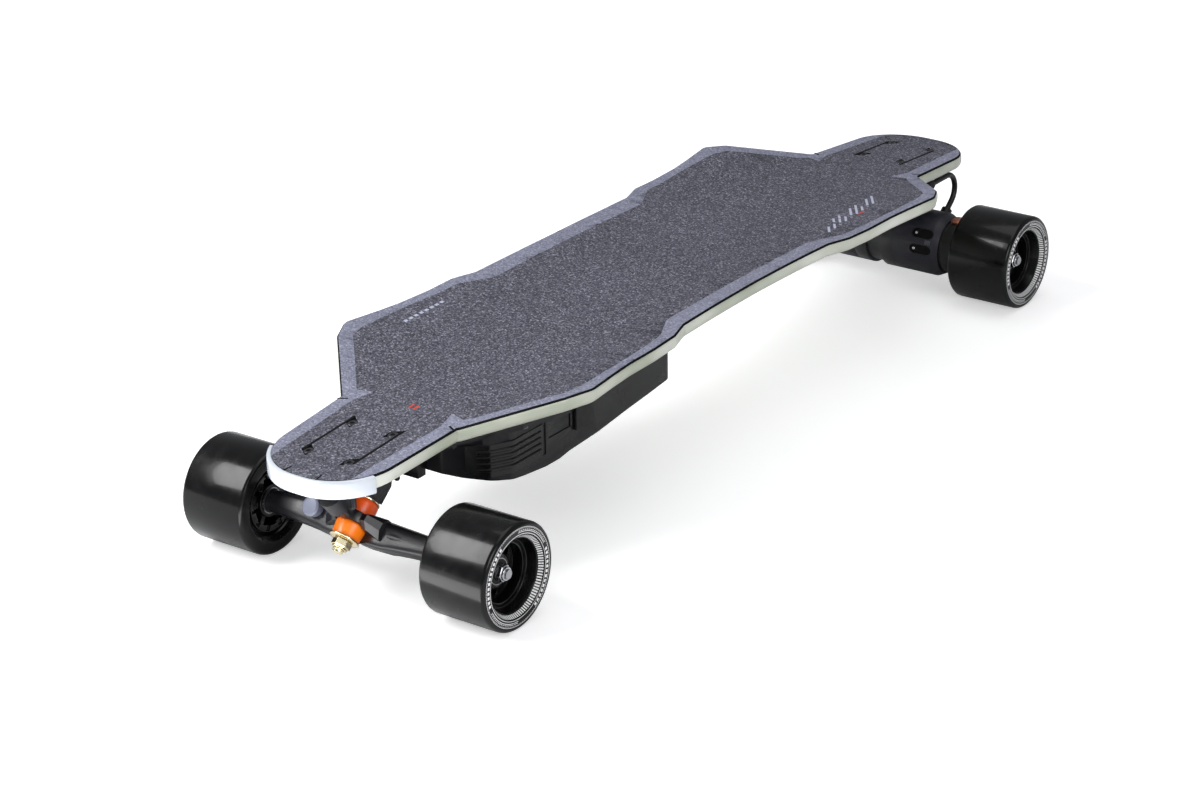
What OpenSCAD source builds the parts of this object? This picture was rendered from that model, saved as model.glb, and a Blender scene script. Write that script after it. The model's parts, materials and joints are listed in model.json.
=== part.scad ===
// Electric longboard: cambered deck with wheel cut-outs, reverse-kingpin trucks,
// two coaxial rear drive motors and a battery enclosure under the front half.
// Millimetres. +X is forward, +Y is the rider's left, +Z is up, origin on the ground
// at the centre of the board's box.

/* [Deck] */
// Overall length, nose bumper to tail tip
overall_l = 968; // [956:1:980]
// Thickness of the deck laminate
deck_t = 12; // [11:0.5:13]
// Rise of the deck's middle over the truck bolts
camber = 19; // [17:0.5:21]
// Tilt of the truck platforms, degrees
platform_tilt = 4; // [3.8:0.1:4.4]
// Thickness of the grip sheets
grip_t = 1; // [0.8:0.1:1.4]
// Width of the bare deck edge round the grip
edge_w = 2; // [1.5:0.25:3]
// Half width of the nose and tail
nose_half_w = 52; // [51:0.5:54]
// Corner radius of the nose and tail
nose_r = 49; // [44:0.5:50]
// Half width of the deck beside the wheels
neck_half_w = 58; // [57:0.5:61]
// Half width at the wing tips
wing_half_w = 127; // [125:0.5:129]
// Half width at the middle of the deck
mid_half_w = 106; // [104:0.5:108]
// Half width of the deck's flat middle, between the raised rails
flat_half_w = 60; // [59:0.5:62]
// Upward tilt of the rails beside the enclosure, degrees
rail_tilt = 5.5; // [4:0.25:6.5]
// Upward tilt of the rails at the wing tips, degrees
wing_tilt = 12; // [10:0.25:13]
// Width of the light grip border in the middle
border_w = 16.5; // [13:0.5:20]
// How far the nose bumper stands out from the deck edge
bumper_out = 2; // [1.5:0.25:3]
// How far the nose bumper runs back from the nose tip
bumper_run = 32; // [28:1:36]

/* [Trucks] */
// Distance from the nose and tail tips to the nearer axle
axle_inset = 77.5; // [74:0.5:80]
// Truck bolt centre outboard of the axle
bolt_offset = 9.5; // [8.5:0.5:10.5]
// Height from the axle to the deck's underside at the truck bolts
truck_h = 67; // [66:0.5:70]
// Width of the hanger, bearing shoulder to bearing shoulder
hanger_w = 190; // [187:1:194]
// Angle of the steering axis above level, degrees
steer_rake = 50; // [48:0.5:52]
// Distance from the axle to the kingpin along the steering axis
seat_x = 16; // [15.5:0.25:17]
// Thickness of the hanger's bushing seat
seat_t = 8.5; // [8:0.5:9]
// Radius of the kingpin
kingpin_r = 4.75; // [4.5:0.05:5]
// Radius of the bushings
bushing_r = 13; // [12.5:0.1:13.2]
// Height of each bushing
bushing_h = 13; // [12:0.5:14]
// Thickness of the cup washers
washer_t = 2; // [1.5:0.25:2.5]
// Radius of the hanger's pivot pin
pivot_r = 6; // [5.5:0.25:6.5]
// Wall of the pivot cup
cup_wall = 2.5; // [2:0.25:3]
// Thickness of the riser pad
riser_t = 3; // [2:0.5:4]
// Thickness of the baseplate
plate_t = 9; // [8:0.5:10]
// Length of the baseplate
plate_l = 82; // [78:1:84]
// Width of the baseplate
plate_w = 58; // [56:1:62]
// Truck bolt spacing along the board
bolt_dx = 53.975; // [53.975:0.001:53.975]
// Truck bolt spacing across the board
bolt_dy = 41.275; // [41.275:0.001:41.275]
// Radius of the truck bolts
bolt_r = 2.5; // [2.4:0.1:2.6]
// Length of a truck bolt under the deck
bolt_under = 28; // [26:1:29]
// Radius of the axles
axle_r = 4; // [3.9:0.05:4.1]
// Radius of the hanger arm beside the seat
arm_r = 12; // [11:0.25:12.5]
// Radius of the hanger arm beside the wheel
arm_end_r = 9; // [8:0.25:10]

/* [Wheels] */
// Diameter of the wheels
wheel_d = 90; // [88:1:92]
// Width of the wheels
wheel_w = 64; // [61:1:66]
// Radius of the wheel cores
core_r = 27.5; // [26.5:0.25:28.5]
// Outer radius of the wheel bearings
bearing_r = 11; // [10.8:0.1:11.2]
// Width of the wheel bearings
bearing_w = 7; // [6.5:0.5:8]
// Depth of the inner bearing inside the wheel's inner face
bearing_inset = 6; // [5:0.5:7]

/* [Motors] */
// Radius of the motor housings
motor_r = 31; // [30:0.25:31.5]
// Wall of the motor housings
motor_wall = 3; // [2.5:0.25:3.5]
// Distance from the centre line to the motor's inner end plate
motor_y0 = 19; // [19:0.25:20]
// Distance from the centre line to the motor's outer face
motor_y1 = 70; // [68:0.5:71]
// Distance from the centre line to the motor cables
cable_y = 48; // [46:0.5:50]
// Diameter of the motor cables
cable_d = 5.5; // [5:0.25:6]
// Bend radius of the motor cables
cable_bend = 16.5; // [15:0.5:18]

/* [Enclosure] */
// Length of the enclosure
encl_l = 265; // [262:1:275]
// Half width of the enclosure
encl_half_w = 85; // [84:0.5:87]
// Wall of the enclosure
encl_wall = 2.5; // [2:0.25:3]
// Width of the screwed flange
flange_w = 8; // [7:0.5:9]
// Thickness of the screwed flange
flange_t = 3; // [2.5:0.25:4]
// Thickness of the gasket
gasket_t = 1.5; // [1:0.25:2]
// Radius of a battery cell
cell_r = 9.1; // [9:0.05:9.25]
// Length of a battery cell
cell_l = 65; // [64:0.5:66]
// Cells in each of the two rows
cell_n = 10; // [8:1:10]
// Radius of the charging socket's bore
jack_r = 4; // [3:0.25:4.5]
// Radius of the power button
button_r = 8; // [7:0.25:9]
// Travel of the power button
button_travel = 1.5; // [1:0.25:2]

/* [Hidden] */
$fn = 96;

FRONT = 0;
REAR = 180;
LEFT = 1;
RIGHT = -1;
far = 600;          // longer than half the board, for cutting solids
fit = 0.05;         // radial clearance of a running fit
gap = 0.3;          // clearance between pieces that only pass each other

half_l = overall_l / 2;
axle_x = half_l - axle_inset;
axle_z = wheel_d / 2;
bolt_x = axle_x + bolt_offset;
platform_z = axle_z + truck_h;
crown_z = platform_z + deck_t + camber;

// Side view of the deck: a flat-sided parabola between two straight platforms
slope = tan(platform_tilt);
bend_x = 2 * (bolt_x - camber / slope);
strips = 19;
strip_x = [for (i = [0 : strips]) bend_x * (2 * i / strips - 1)];
side_x = concat([-far], strip_x, [far]);
function top_z(x) = abs(x) < bend_x
    ? crown_z - x * x * slope / (2 * bend_x)
    : crown_z - slope * (abs(x) - bend_x / 2);
function bottom_z(x) = top_z(x) - deck_t;

// Rails: the deck rises outside its flat middle, most at the wings
rail_x0 = 170;
rail_x1 = 290;
function clamp(v) = min(1, max(0, v));
function rail_slope(x) =
    tan(rail_tilt) + (tan(wing_tilt) - tan(rail_tilt)) * clamp((abs(x) - rail_x0) / (rail_x1 - rail_x0));
function rise(x, y) = rail_slope(x) * max(0, abs(y) - flat_half_w);

// Outline of the grip, one corner each: x, y, corner radius
neck_x = axle_x - wheel_d / 2 - 4.5;
grip_nose_x = half_l - bumper_out - edge_w;
grip_tail_x = half_l - edge_w;
function quarter(tip_x) = [
    [tip_x, nose_half_w, nose_r],
    [neck_x, neck_half_w, 3],
    [neck_x - 66, wing_half_w - 10.5, 14],
    [neck_x - 88, wing_half_w, 14],
    [neck_x - 125, wing_half_w - 5.3, 20],
    [neck_x - 150, mid_half_w + 12.8, 0],
    [neck_x - 219, mid_half_w + 10.2, 6],
    [neck_x - 243, mid_half_w + 2.6, 6],
];
// Inner edge of the light border; it leaves the outline at the nose
function inner_quarter(tip_x) = [
    [tip_x + 20, nose_half_w - 14, 0],
    [tip_x - 17, nose_half_w - 12, 0],
    [neck_x + 4, neck_half_w - 12.5, 0],
    [neck_x - 18, neck_half_w - 18, 0],
    [neck_x - 14, neck_half_w - 3.5, 0],
    [neck_x - 76, wing_half_w - 18, 6],
    [neck_x - 94, wing_half_w - 14, 10],
    [neck_x - 152, mid_half_w + 4.5, 0],
    [neck_x - 214, mid_half_w, 5],
    [neck_x - 246, mid_half_w - border_w + 0.5, 6],
];
function mirror_x(p) = [-p[0], p[1], p[2]];
function mirror_y(p) = [p[0], -p[1], p[2]];
function backwards(l) = [for (i = [len(l) - 1 : -1 : 0]) l[i]];
function left_side(f, middle, r) = concat(f, middle, backwards([for (p = r) mirror_x(p)]));
function closed(l) = concat(l, backwards([for (p = l) mirror_y(p)]));
waist = [[0, mid_half_w, 3000]];
grip_corners = closed(left_side(quarter(grip_nose_x), waist, quarter(grip_tail_x)));
centre_corners = closed(left_side(inner_quarter(grip_nose_x), [], inner_quarter(grip_tail_x)));

// Moves every edge of a cornered outline outward by d
function out_of(a, b) = let(d = (b - a) / norm(b - a)) [d[1], -d[0]];
function xy(p) = [p[0], p[1]];
function turn(u, v) = u[0] * v[1] - u[1] * v[0];
function grow(l, d) = [
    for (i = [0 : len(l) - 1])
        let(
            before = xy(l[(i + len(l) - 1) % len(l)]),
            here = xy(l[i]),
            after = xy(l[(i + 1) % len(l)]),
            m = out_of(before, here),
            n = out_of(here, after),
            p = here + (m + n) * d / (1 + m * n),
            r = l[i][2]
        )
        [p[0], p[1], r == 0 ? 0 : max(0.5, turn(m, n) > 0 ? r + d : r - d)]
];

// Rounds every corner of a cornered outline
step_deg = 9;
function arc(a, p, b, r) =
    let(
        u = (a - p) / norm(a - p),
        v = (b - p) / norm(b - p),
        half = acos(u * v) / 2,
        c = p + (u + v) / norm(u + v) * r / sin(half),
        t = p + u * r / tan(half) - c,
        s = p + v * r / tan(half) - c,
        sweep = turn(t, s) > 0 ? 180 - 2 * half : 2 * half - 180,
        n = max(2, ceil(abs(sweep) / step_deg)),
        start = atan2(t[1], t[0])
    )
    [for (k = [0 : n]) c + r * [cos(start + sweep * k / n), sin(start + sweep * k / n)]];
function rounded(l) = [
    for (i = [0 : len(l) - 1])
        let(
            before = xy(l[(i + len(l) - 1) % len(l)]),
            here = xy(l[i]),
            after = xy(l[(i + 1) % len(l)])
        )
        for (q = l[i][2] == 0 ? [here] : arc(before, here, after, l[i][2])) q
];

// Upright prism of an outline
module prism(corners) {
    translate([0, 0, -far]) linear_extrude(2 * far) polygon(rounded(corners));
}

// Layer of the cambered deck between two heights over its top: a ring of eight
// corners at each station, under and then over, joined by triangles
layer_half_w = wing_half_w + 20;
rail_y = [-layer_half_w, -flat_half_w, flat_half_w, layer_half_w];
module layer(low, high) {
    n = 2 * len(rail_y);
    last = len(side_x) - 1;
    corners = [for (x = side_x) each concat(
        [for (y = rail_y) [x, y, top_z(x) + rise(x, y) + low]],
        [for (y = backwards(rail_y)) [x, y, top_z(x) + rise(x, y) + high]]
    )];
    skin = [for (i = [0 : last - 1], j = [0 : n - 1])
        let(a = i * n + j, b = i * n + (j + 1) % n, under = j < len(rail_y) - 1)
        each under ? [[a, a + n, b], [b, a + n, b + n]] : [[a, b + n, b], [a, a + n, b + n]]];
    ends = [for (i = [0, last], j = [0 : 2])
        let(a = i * n + j, b = a + 1, c = i * n + n - 2 - j, d = c + 1)
        each i == 0 ? [[a, b, c], [a, c, d]] : [[a, c, b], [a, d, c]]];
    polyhedron(points = corners, faces = concat(skin, ends));
}

// Everything under the deck's underside, less a gap
module under_deck(below) {
    layer(-far, -deck_t - below);
}

module both_ends() {
    for (end = [FRONT, REAR]) rotate([0, 0, end]) children();
}

module both_sides() {
    children();
    mirror([0, 1, 0]) children();
}

// Frames of a truck: x points outboard
module at_axle() {
    translate([axle_x, 0, axle_z]) children();
}
module at_steer() {
    at_axle() rotate([0, -steer_rake, 0]) children();
}
module at_kingpin() {
    at_steer() translate([seat_x, 0, 0]) children();
}
module at_platform() {
    translate([bolt_x, 0, platform_z]) rotate([0, platform_tilt, 0]) children();
}
module at_bolts() {
    at_platform()
        for (x = [-bolt_dx / 2, bolt_dx / 2], y = [-bolt_dy / 2, bolt_dy / 2])
            translate([x, y, 0]) children();
}

// Rods and tubes from one place to another along an axis
module rod_z(r, low, high) {
    translate([0, 0, low]) cylinder(r = r, h = high - low);
}
module rod_x(r, low, high) {
    rotate([0, 90, 0]) rod_z(r, low, high);
}
module rod_y(r, low, high) {
    rotate([-90, 0, 0]) rod_z(r, low, high);
}
module tube_z(inner, outer, low, high) {
    difference() {
        rod_z(outer, low, high);
        rod_z(inner, low - 1, high + 1);
    }
}
module tube_y(inner, outer, low, high) {
    rotate([-90, 0, 0]) tube_z(inner, outer, low, high);
}
module hex_nut(across_corners_r, bore_r, low, high) {
    difference() {
        translate([0, 0, low]) cylinder(r = across_corners_r, h = high - low, $fn = 6);
        rod_z(bore_r, low - 1, high + 1);
    }
}
module rounded_plate(l, w, r, low, high) {
    h = high - low;
    translate([0, 0, low]) {
        translate([-l / 2 + r, -w / 2, 0]) cube([l - 2 * r, w, h]);
        translate([-l / 2, -w / 2 + r, 0]) cube([l, w - 2 * r, h]);
        for (x = [-l / 2 + r, l / 2 - r], y = [-w / 2 + r, w / 2 - r])
            translate([x, y, 0]) cylinder(r = r, h = h);
    }
}

// Truck bolts and their holes
deck_cut = deck_t * cos(platform_tilt);
bolt_hole_r = bolt_r + 0.25;
bolt_head_r = bolt_r + 2.1;
bolt_head_t = 2.5;
bolt_nut_r = bolt_r + 2.1;
bolt_nut_t = 5;
plate_bottom = -riser_t - plate_t;

module bolt_holes() {
    both_ends() at_bolts() {
        rod_z(bolt_hole_r, -deck_t, 3 * deck_t);
        rod_z(bolt_head_r + 0.2, deck_cut - bolt_head_t, 3 * deck_t);
    }
}

// Motor cables: out of the relief, round a bend and straight into the housing
cable_z = bottom_z(axle_x - 50) - 11;
cable_turn = 140;
cable_rise = cable_z - axle_z;
bend_out = -(cable_bend + (cable_rise - cable_bend) * cos(cable_turn)) / sin(cable_turn);
gland_tilt = cable_turn - 90;
gland_top = motor_r + 7;
gland_r = cable_d / 2 + 2.5;
relief_x0 = axle_x - 52;
relief_x1 = axle_x - 2.5;
relief_block_l = 16;
relief_block_w = 20;

// Flat cable in the deck's underside, from the enclosure to the cable reliefs
ribbon_w = 30;
ribbon_t = 2;
ribbon_front_x = axle_x - 46.5 - encl_l + 20;
module ribbon_plan(extra) {
    length = ribbon_front_x + relief_x0 + relief_block_l;
    translate([ribbon_front_x - length - extra, -ribbon_w / 2 - extra, 0])
        cube([length + 2 * extra, ribbon_w + 2 * extra, far]);
    translate([-relief_x0 - relief_block_l - extra, -cable_y - 4 - extra, 0])
        cube([relief_block_l + 2 * extra, 2 * (cable_y + 4 + extra), far]);
}

// Deck
bumper_back_x = half_l - bumper_run;
bumper_drop = 2;
bumper_lip_w = 6;
module bumper_room(inner, drop) {
    intersection() {
        layer(-deck_t - drop, 0);
        difference() {
            prism(grow(grip_corners, edge_w + bumper_out));
            prism(grow(grip_corners, inner));
        }
        translate([bumper_back_x, -far, 0]) cube([far, 2 * far, far]);
    }
}

module deck_core() {
    color("#b7bbac")
        difference() {
            intersection() {
                layer(-deck_t, 0);
                prism(grow(grip_corners, edge_w));
            }
            bumper_room(0, 1);
            bolt_holes();
            enclosure_screw_rods(encl_screw_r, encl_screw_in + 0.5);
            intersection() {
                layer(-deck_t - 1, ribbon_t + 0.2 - deck_t);
                ribbon_plan(gap);
            }
        }
}

// Openings in the grip round the truck bolts, with a slit joining them
module grip_windows() {
    window = [[-9.5, 6], [2.5, 6], [9.5, -4], [-1.5, -4]];
    slit_w = 1.5;
    both_ends() both_sides() {
        for (x = [bolt_x - bolt_dx / 2, bolt_x + bolt_dx / 2])
            translate([x, bolt_dy / 2, 0]) linear_extrude(far) polygon(window);
        translate([bolt_x - bolt_dx / 2 - 7.5, bolt_dy / 2 + 4.2, 0])
            cube([bolt_dx + 9, slit_w, far]);
    }
}
module grip_nicks() {
    nick_w = 1;
    both_sides() {
        translate([grip_nose_x - 6, 14, 0]) cube([20, nick_w, far]);
        translate([-grip_tail_x - 10, 24, 0]) cube([20, nick_w, far]);
    }
}

module grip_centre() {
    color("#4b4b55")
        difference() {
            intersection() {
                layer(0, grip_t);
                prism(grip_corners);
                prism(centre_corners);
            }
            grip_windows();
            grip_nicks();
        }
}

module grip_border() {
    color("#9698af")
        difference() {
            intersection() {
                layer(0, grip_t);
                prism(grip_corners);
            }
            prism(centre_corners);
        }
}

module nose_bumper() {
    color("#f2f4f6") {
        difference() {
            union() {
                bumper_room(0, 0);
                intersection() {
                    bumper_room(-bumper_lip_w, bumper_drop);
                    under_deck(0);
                }
            }
        }
    }
}

module deck_cable_ribbon() {
    color("#1c1c1e")
        intersection() {
            layer(-deck_t, ribbon_t - deck_t);
            ribbon_plan(0);
        }
}

// Truck parts
collar_h = seat_t / 2 + bushing_h;
boss_low = collar_h + washer_t;
boss_high = boss_low + 21;
boss_r = 11;
leg_half_w = 10.5;
seat_ring_r = bushing_r + 2.5;
seat_hole_r = kingpin_r + 2.75;
neck_low = seat_x + bushing_r + 0.5;
cup_low = seat_x + bushing_r + 15;
cup_high = cup_low + 13;
cup_r = pivot_r + fit + cup_wall;
housing_wall = 2.5;
nut_t = 8;

// A point of the steering frame, seen from the side, measured from the axle
function side(x, z) = [
    x * cos(steer_rake) - z * sin(steer_rake),
    x * sin(steer_rake) + z * cos(steer_rake)
];

module baseplate() {
    root_z = truck_h - riser_t - plate_t / 2;
    color("#26262a")
        difference() {
            union() {
                at_platform() rounded_plate(plate_l, plate_w, 8, plate_bottom, -riser_t);
                at_kingpin() rod_z(boss_r, boss_low, boss_high);
                at_steer() rod_x(cup_r + housing_wall, cup_low - 1, cup_high + 2);
                at_axle() rotate([90, 0, 0])
                    linear_extrude(2 * leg_half_w, center = true)
                        polygon([
                            side(seat_x - 8, boss_low + 2),
                            side(seat_x - 8, boss_high - 2),
                            [-30, root_z],
                            [bolt_offset + plate_l / 2 - 8, root_z - 2],
                            side(cup_high + 2, cup_r - 2),
                            side(cup_low + 1, cup_r + 1),
                            side(seat_x + 20, boss_low + 6),
                            side(seat_x + 9, boss_low + 2),
                        ]);
            }
            at_bolts() rod_z(bolt_hole_r, 2 * plate_bottom, 1);
            at_bolts() rod_z(bolt_nut_r + 2, 2 * plate_bottom, plate_bottom);
            at_kingpin() rod_z(kingpin_r + fit, boss_low - 1, boss_high - 2);
            at_steer() rod_x(cup_r, cup_low - 2, cup_high);
        }
}

module riser_pads() {
    color("#141414")
        both_ends()
            difference() {
                at_platform() rounded_plate(plate_l + 2, plate_w + 2, 9, -riser_t, 0);
                at_bolts() rod_z(bolt_hole_r, -2 * riser_t, riser_t);
            }
}

module kingpins() {
    color("#d8c38a")
        both_ends() at_kingpin() rod_z(kingpin_r, -boss_low - nut_t - 3, boss_high - 3);
}

module kingpin_nuts() {
    color("#e2d09c")
        both_ends()
            at_kingpin() hex_nut(8.3, kingpin_r + fit, -boss_low - nut_t, -boss_low);
}

module pivot_cups() {
    color("#1a1a1a")
        both_ends()
            at_steer() rotate([0, 90, 0]) tube_z(pivot_r + fit, cup_r, cup_low, cup_high);
}

module bushings() {
    color("#ff5a12")
        at_kingpin() {
            tube_z(kingpin_r + fit, bushing_r, seat_t / 2, collar_h);
            difference() {
                translate([0, 0, -collar_h])
                    cylinder(r1 = bushing_r - 1.5, r2 = bushing_r, h = bushing_h);
                rod_z(kingpin_r + fit, -collar_h - 1, 0);
            }
        }
}

module cup_washers() {
    color("#d8c38a")
        both_ends()
            at_kingpin() {
                tube_z(kingpin_r + fit, bushing_r, collar_h, boss_low);
                tube_z(kingpin_r + fit, bushing_r, -boss_low, -collar_h);
            }
}

module truck_bolts() {
    color("#26262a")
        both_ends()
            at_bolts()
                difference() {
                    union() {
                        rod_z(bolt_r, -bolt_under, deck_cut);
                        rod_z(bolt_head_r, deck_cut - bolt_head_t, deck_cut);
                    }
                    translate([0, 0, deck_cut - 1.5]) cylinder(r = 1.7, h = 3, $fn = 6);
                }
}

module truck_lock_nuts() {
    color("#3a3a3e")
        both_ends()
            at_bolts() hex_nut(bolt_nut_r, bolt_r + fit, plate_bottom - bolt_nut_t, plate_bottom);
}

// Seat ring, block and pivot pin that both hangers share
pin_end = cup_high - 1;
block_x1 = seat_x - bushing_r - 0.5;
module hanger_seat() {
    at_steer() {
        translate([seat_x, 0, 0]) rod_z(seat_ring_r, -seat_t / 2, seat_t / 2);
        translate([0, -bushing_r, -seat_t / 2]) cube([seat_x, 2 * bushing_r, seat_t]);
        translate([-11, -16, -9]) cube([11 + block_x1, 32, 18]);
        rod_x(pivot_r, neck_low, pin_end);
    }
}
module hanger_bores() {
    at_kingpin() rod_z(seat_hole_r, -seat_t, seat_t);
    at_axle() rod_y(axle_r + fit, -hanger_w, hanger_w);
}

shoulder_y = hanger_w / 2;
arm_y0 = bushing_r + 1;
module front_hanger() {
    color("#2b2b30")
        difference() {
            union() {
                hanger_seat();
                both_sides()
                    at_axle() rotate([-90, 0, 0]) translate([0, 0, arm_y0])
                        cylinder(r1 = arm_r, r2 = arm_end_r, h = shoulder_y - arm_y0);
            }
            hanger_bores();
        }
}

motor_plate_t = 3;
motor_y_in = motor_y0 + motor_plate_t;
hub_step_y = 8;
hub_r = motor_r - 3;
module rear_hanger() {
    color("#2b2b30")
        rotate([0, 0, REAR])
            difference() {
                union() {
                    hanger_seat();
                    intersection() {
                        at_axle() union() {
                            rod_y(hub_r, -hub_step_y, hub_step_y);
                            rod_y(motor_r, hub_step_y, motor_y0);
                            rod_y(motor_r, -motor_y0, -hub_step_y);
                        }
                        at_steer() translate([-3 - far, -far, -far]) cube([far, 2 * far, 2 * far]);
                    }
                    both_sides() at_axle() rod_y(motor_r, motor_y0, motor_y_in);
                }
                hanger_bores();
            }
}

// Wheel stack along the axle
speed_t = 1;
play = 0.2;
bearing_y0 = shoulder_y + speed_t + play;
wheel_y0 = bearing_y0 - bearing_inset;
wheel_y1 = wheel_y0 + wheel_w;
outer_bearing_z = wheel_w - 26;
bearing_y1 = wheel_y0 + outer_bearing_z + bearing_w;
nut_y0 = bearing_y1 + play + speed_t;
axle_nut_t = 7;
axle_end_y = nut_y0 + axle_nut_t + 1.5;

module axle() {
    color("#c8c8cc") at_axle() rod_y(axle_r, -axle_end_y, axle_end_y);
}
module axle_nuts() {
    color("#d6d6da")
        both_sides()
            at_axle() rotate([-90, 0, 0])
                hex_nut(7.5, axle_r + fit, nut_y0, nut_y0 + axle_nut_t);
}
module speed_washers(inner_too) {
    color("#c8c8cc")
        both_sides()
            at_axle() {
                tube_y(axle_r + fit, 6.5, nut_y0 - speed_t, nut_y0);
                if (inner_too) tube_y(axle_r + fit, 6.5, shoulder_y, shoulder_y + speed_t);
            }
}

// Motors
motor_bore_r = motor_r - motor_wall;
motor_face_t = 4;
sleeve_r = 9;
slot_w = 9.5;
slot_y0 = motor_y1 - 29;
slot_y1 = motor_y1 - 6;
slot_depth = 1.5;
slot_angles = [4, 34, 146, 176];
module housing_slot() {
    translate([0, 0, motor_r - slot_depth]) {
        translate([-slot_w / 2, slot_y0 + slot_w / 2, 0])
            cube([slot_w, slot_y1 - slot_y0 - slot_w, motor_r]);
        for (y = [slot_y0 + slot_w / 2, slot_y1 - slot_w / 2])
            translate([0, y, 0]) cylinder(r = slot_w / 2, h = motor_r);
    }
}
module motor_housings() {
    chamfer = 8;
    color("#232327")
        rotate([0, 0, REAR]) both_sides() at_axle()
            difference() {
                union() {
                    rod_y(motor_r, motor_y_in, motor_y1 - chamfer);
                    rotate([-90, 0, 0]) translate([0, 0, motor_y1 - chamfer])
                        cylinder(r1 = motor_r, r2 = motor_r - 4, h = chamfer);
                }
                rod_y(motor_bore_r, motor_y_in - 1, motor_y1 - chamfer);
                rod_y(motor_bore_r - 4, motor_y_in, motor_y1 - motor_face_t);
                rod_y(sleeve_r + 0.6, motor_y_in, motor_y1 + 1);
                for (a = slot_angles) rotate([0, a - 90, 0]) housing_slot();
                rotate([0, gland_tilt, 0]) translate([0, cable_y, 0])
                    rod_z(cable_d / 2 + fit, motor_bore_r - 2, motor_r + 5);
            }
}

stator_y0 = motor_y_in + 5;
stator_y1 = motor_y1 - 12;
stator_bore_r = 17;
teeth = 12;
module motor_stators() {
    yoke = 5;
    color("#8c5a34")
        rotate([0, 0, REAR]) both_sides() at_axle()
            difference() {
                union() {
                    tube_y(motor_bore_r - yoke, motor_bore_r - fit, stator_y0, stator_y1);
                    for (i = [0 : teeth - 1])
                        rotate([0, i * 360 / teeth, 0])
                            translate([-2, stator_y0, stator_bore_r - 1])
                                cube([4, stator_y1 - stator_y0, motor_bore_r - yoke - stator_bore_r + 2]);
                }
                rod_y(stator_bore_r, stator_y0 - 1, stator_y1 + 1);
            }
}

module motor_cable_glands() {
    color("#1b1b1e")
        rotate([0, 0, REAR]) both_sides() at_axle()
            rotate([0, gland_tilt, 0]) translate([0, cable_y, 0])
                difference() {
                    rod_z(gland_r, motor_r - slot_depth, gland_top);
                    rod_z(cable_d / 2 + fit, motor_bore_r, gland_top + 1);
                    translate([0, -cable_y, 0]) rod_y(motor_r, 0, 2 * cable_y);
                }
}

// The cable's middle line in the truck's side view, each point with its heading
cable_sides = 12;
cable_steps = 14;
bend_centre_z = cable_rise - cable_bend;
cable_run_end = norm([
    bend_out + cable_bend * sin(cable_turn),
    bend_centre_z + cable_bend * cos(cable_turn)
]);
cable_path = concat(
    [[relief_x1 - axle_x - 3, cable_rise, 0]],
    [for (k = [0 : cable_steps])
        let(a = cable_turn * k / cable_steps)
        [bend_out + cable_bend * sin(a), bend_centre_z + cable_bend * cos(a), a]],
    [[(motor_r - slot_depth) * sin(gland_tilt), (motor_r - slot_depth) * cos(gland_tilt), cable_turn]]
);
module motor_cable(s) {
    n = cable_sides;
    last = len(cable_path) - 1;
    rings = [for (p = cable_path) for (j = [0 : n - 1])
        let(up = cable_d / 2 * cos(360 * j / n), across = cable_d / 2 * sin(360 * j / n))
        [p[0] + up * sin(p[2]), across, p[1] + up * cos(p[2])]];
    walls = [for (i = [0 : last - 1], j = [0 : n - 1])
        let(a = i * n + j, b = i * n + (j + 1) % n)
        for (f = [[a, b, b + n], [a, b + n, a + n]]) f];
    ends = [[for (j = [n - 1 : -1 : 0]) j], [for (j = [0 : n - 1]) last * n + j]];
    color("#161618")
        rotate([0, 0, REAR]) at_axle() translate([0, -s * cable_y, 0])
            polyhedron(points = rings, faces = concat(walls, ends));
}

module cable_strain_reliefs() {
    rib_n = 6;
    rib_pitch = (relief_x1 - relief_x0 - relief_block_l) / rib_n;
    tip_x = relief_x0 + relief_block_l;
    color("#1b1b1e")
        rotate([0, 0, REAR]) both_sides() translate([0, cable_y, cable_z])
            difference() {
                union() {
                    intersection() {
                        translate([relief_x0, -relief_block_w / 2, -8])
                            cube([relief_block_l, relief_block_w, far]);
                        translate([0, 0, -cable_z]) under_deck(0);
                    }
                    rod_x(cable_d / 2 + 1.6, tip_x, relief_x1);
                    for (i = [0 : rib_n - 1])
                        rod_x(
                            cable_d / 2 + 3.2 - 0.2 * i,
                            tip_x + i * rib_pitch,
                            tip_x + (i + 0.6) * rib_pitch
                        );
                }
                rod_x(cable_d / 2 + fit, relief_x1 - 3, relief_x1 + 1);
            }
}

// Wheels, built from the inner face outwards along +Z
lip_r = 3;
tyre_r = wheel_d / 2;
dish_r = core_r + 6.5;
function lip(c, from) = [for (a = [0 : 15 : 90]) c + lip_r * [cos(from + a), sin(from + a)]];
module at_wheel(end, s) {
    rotate([0, 0, end]) at_axle() rotate([-90 * s * (end == REAR ? -1 : 1), 0, 0])
        translate([0, 0, wheel_y0]) children();
}
module tyre(end, s) {
    color("#0f0f11")
        at_wheel(end, s)
            rotate_extrude()
                polygon(concat(
                    [[core_r, 8], [core_r + 2, 4], [dish_r, 0]],
                    lip([tyre_r - lip_r, lip_r], -90),
                    lip([tyre_r - lip_r, wheel_w - lip_r], 0),
                    [[dish_r, wheel_w], [dish_r - 3, wheel_w - 5], [core_r + 1, wheel_w - 14],
                        [core_r, wheel_w - 14]]
                ));
}
spokes = 6;
hub_wall = 3;
spoke_z0 = bearing_inset + 3;
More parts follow.
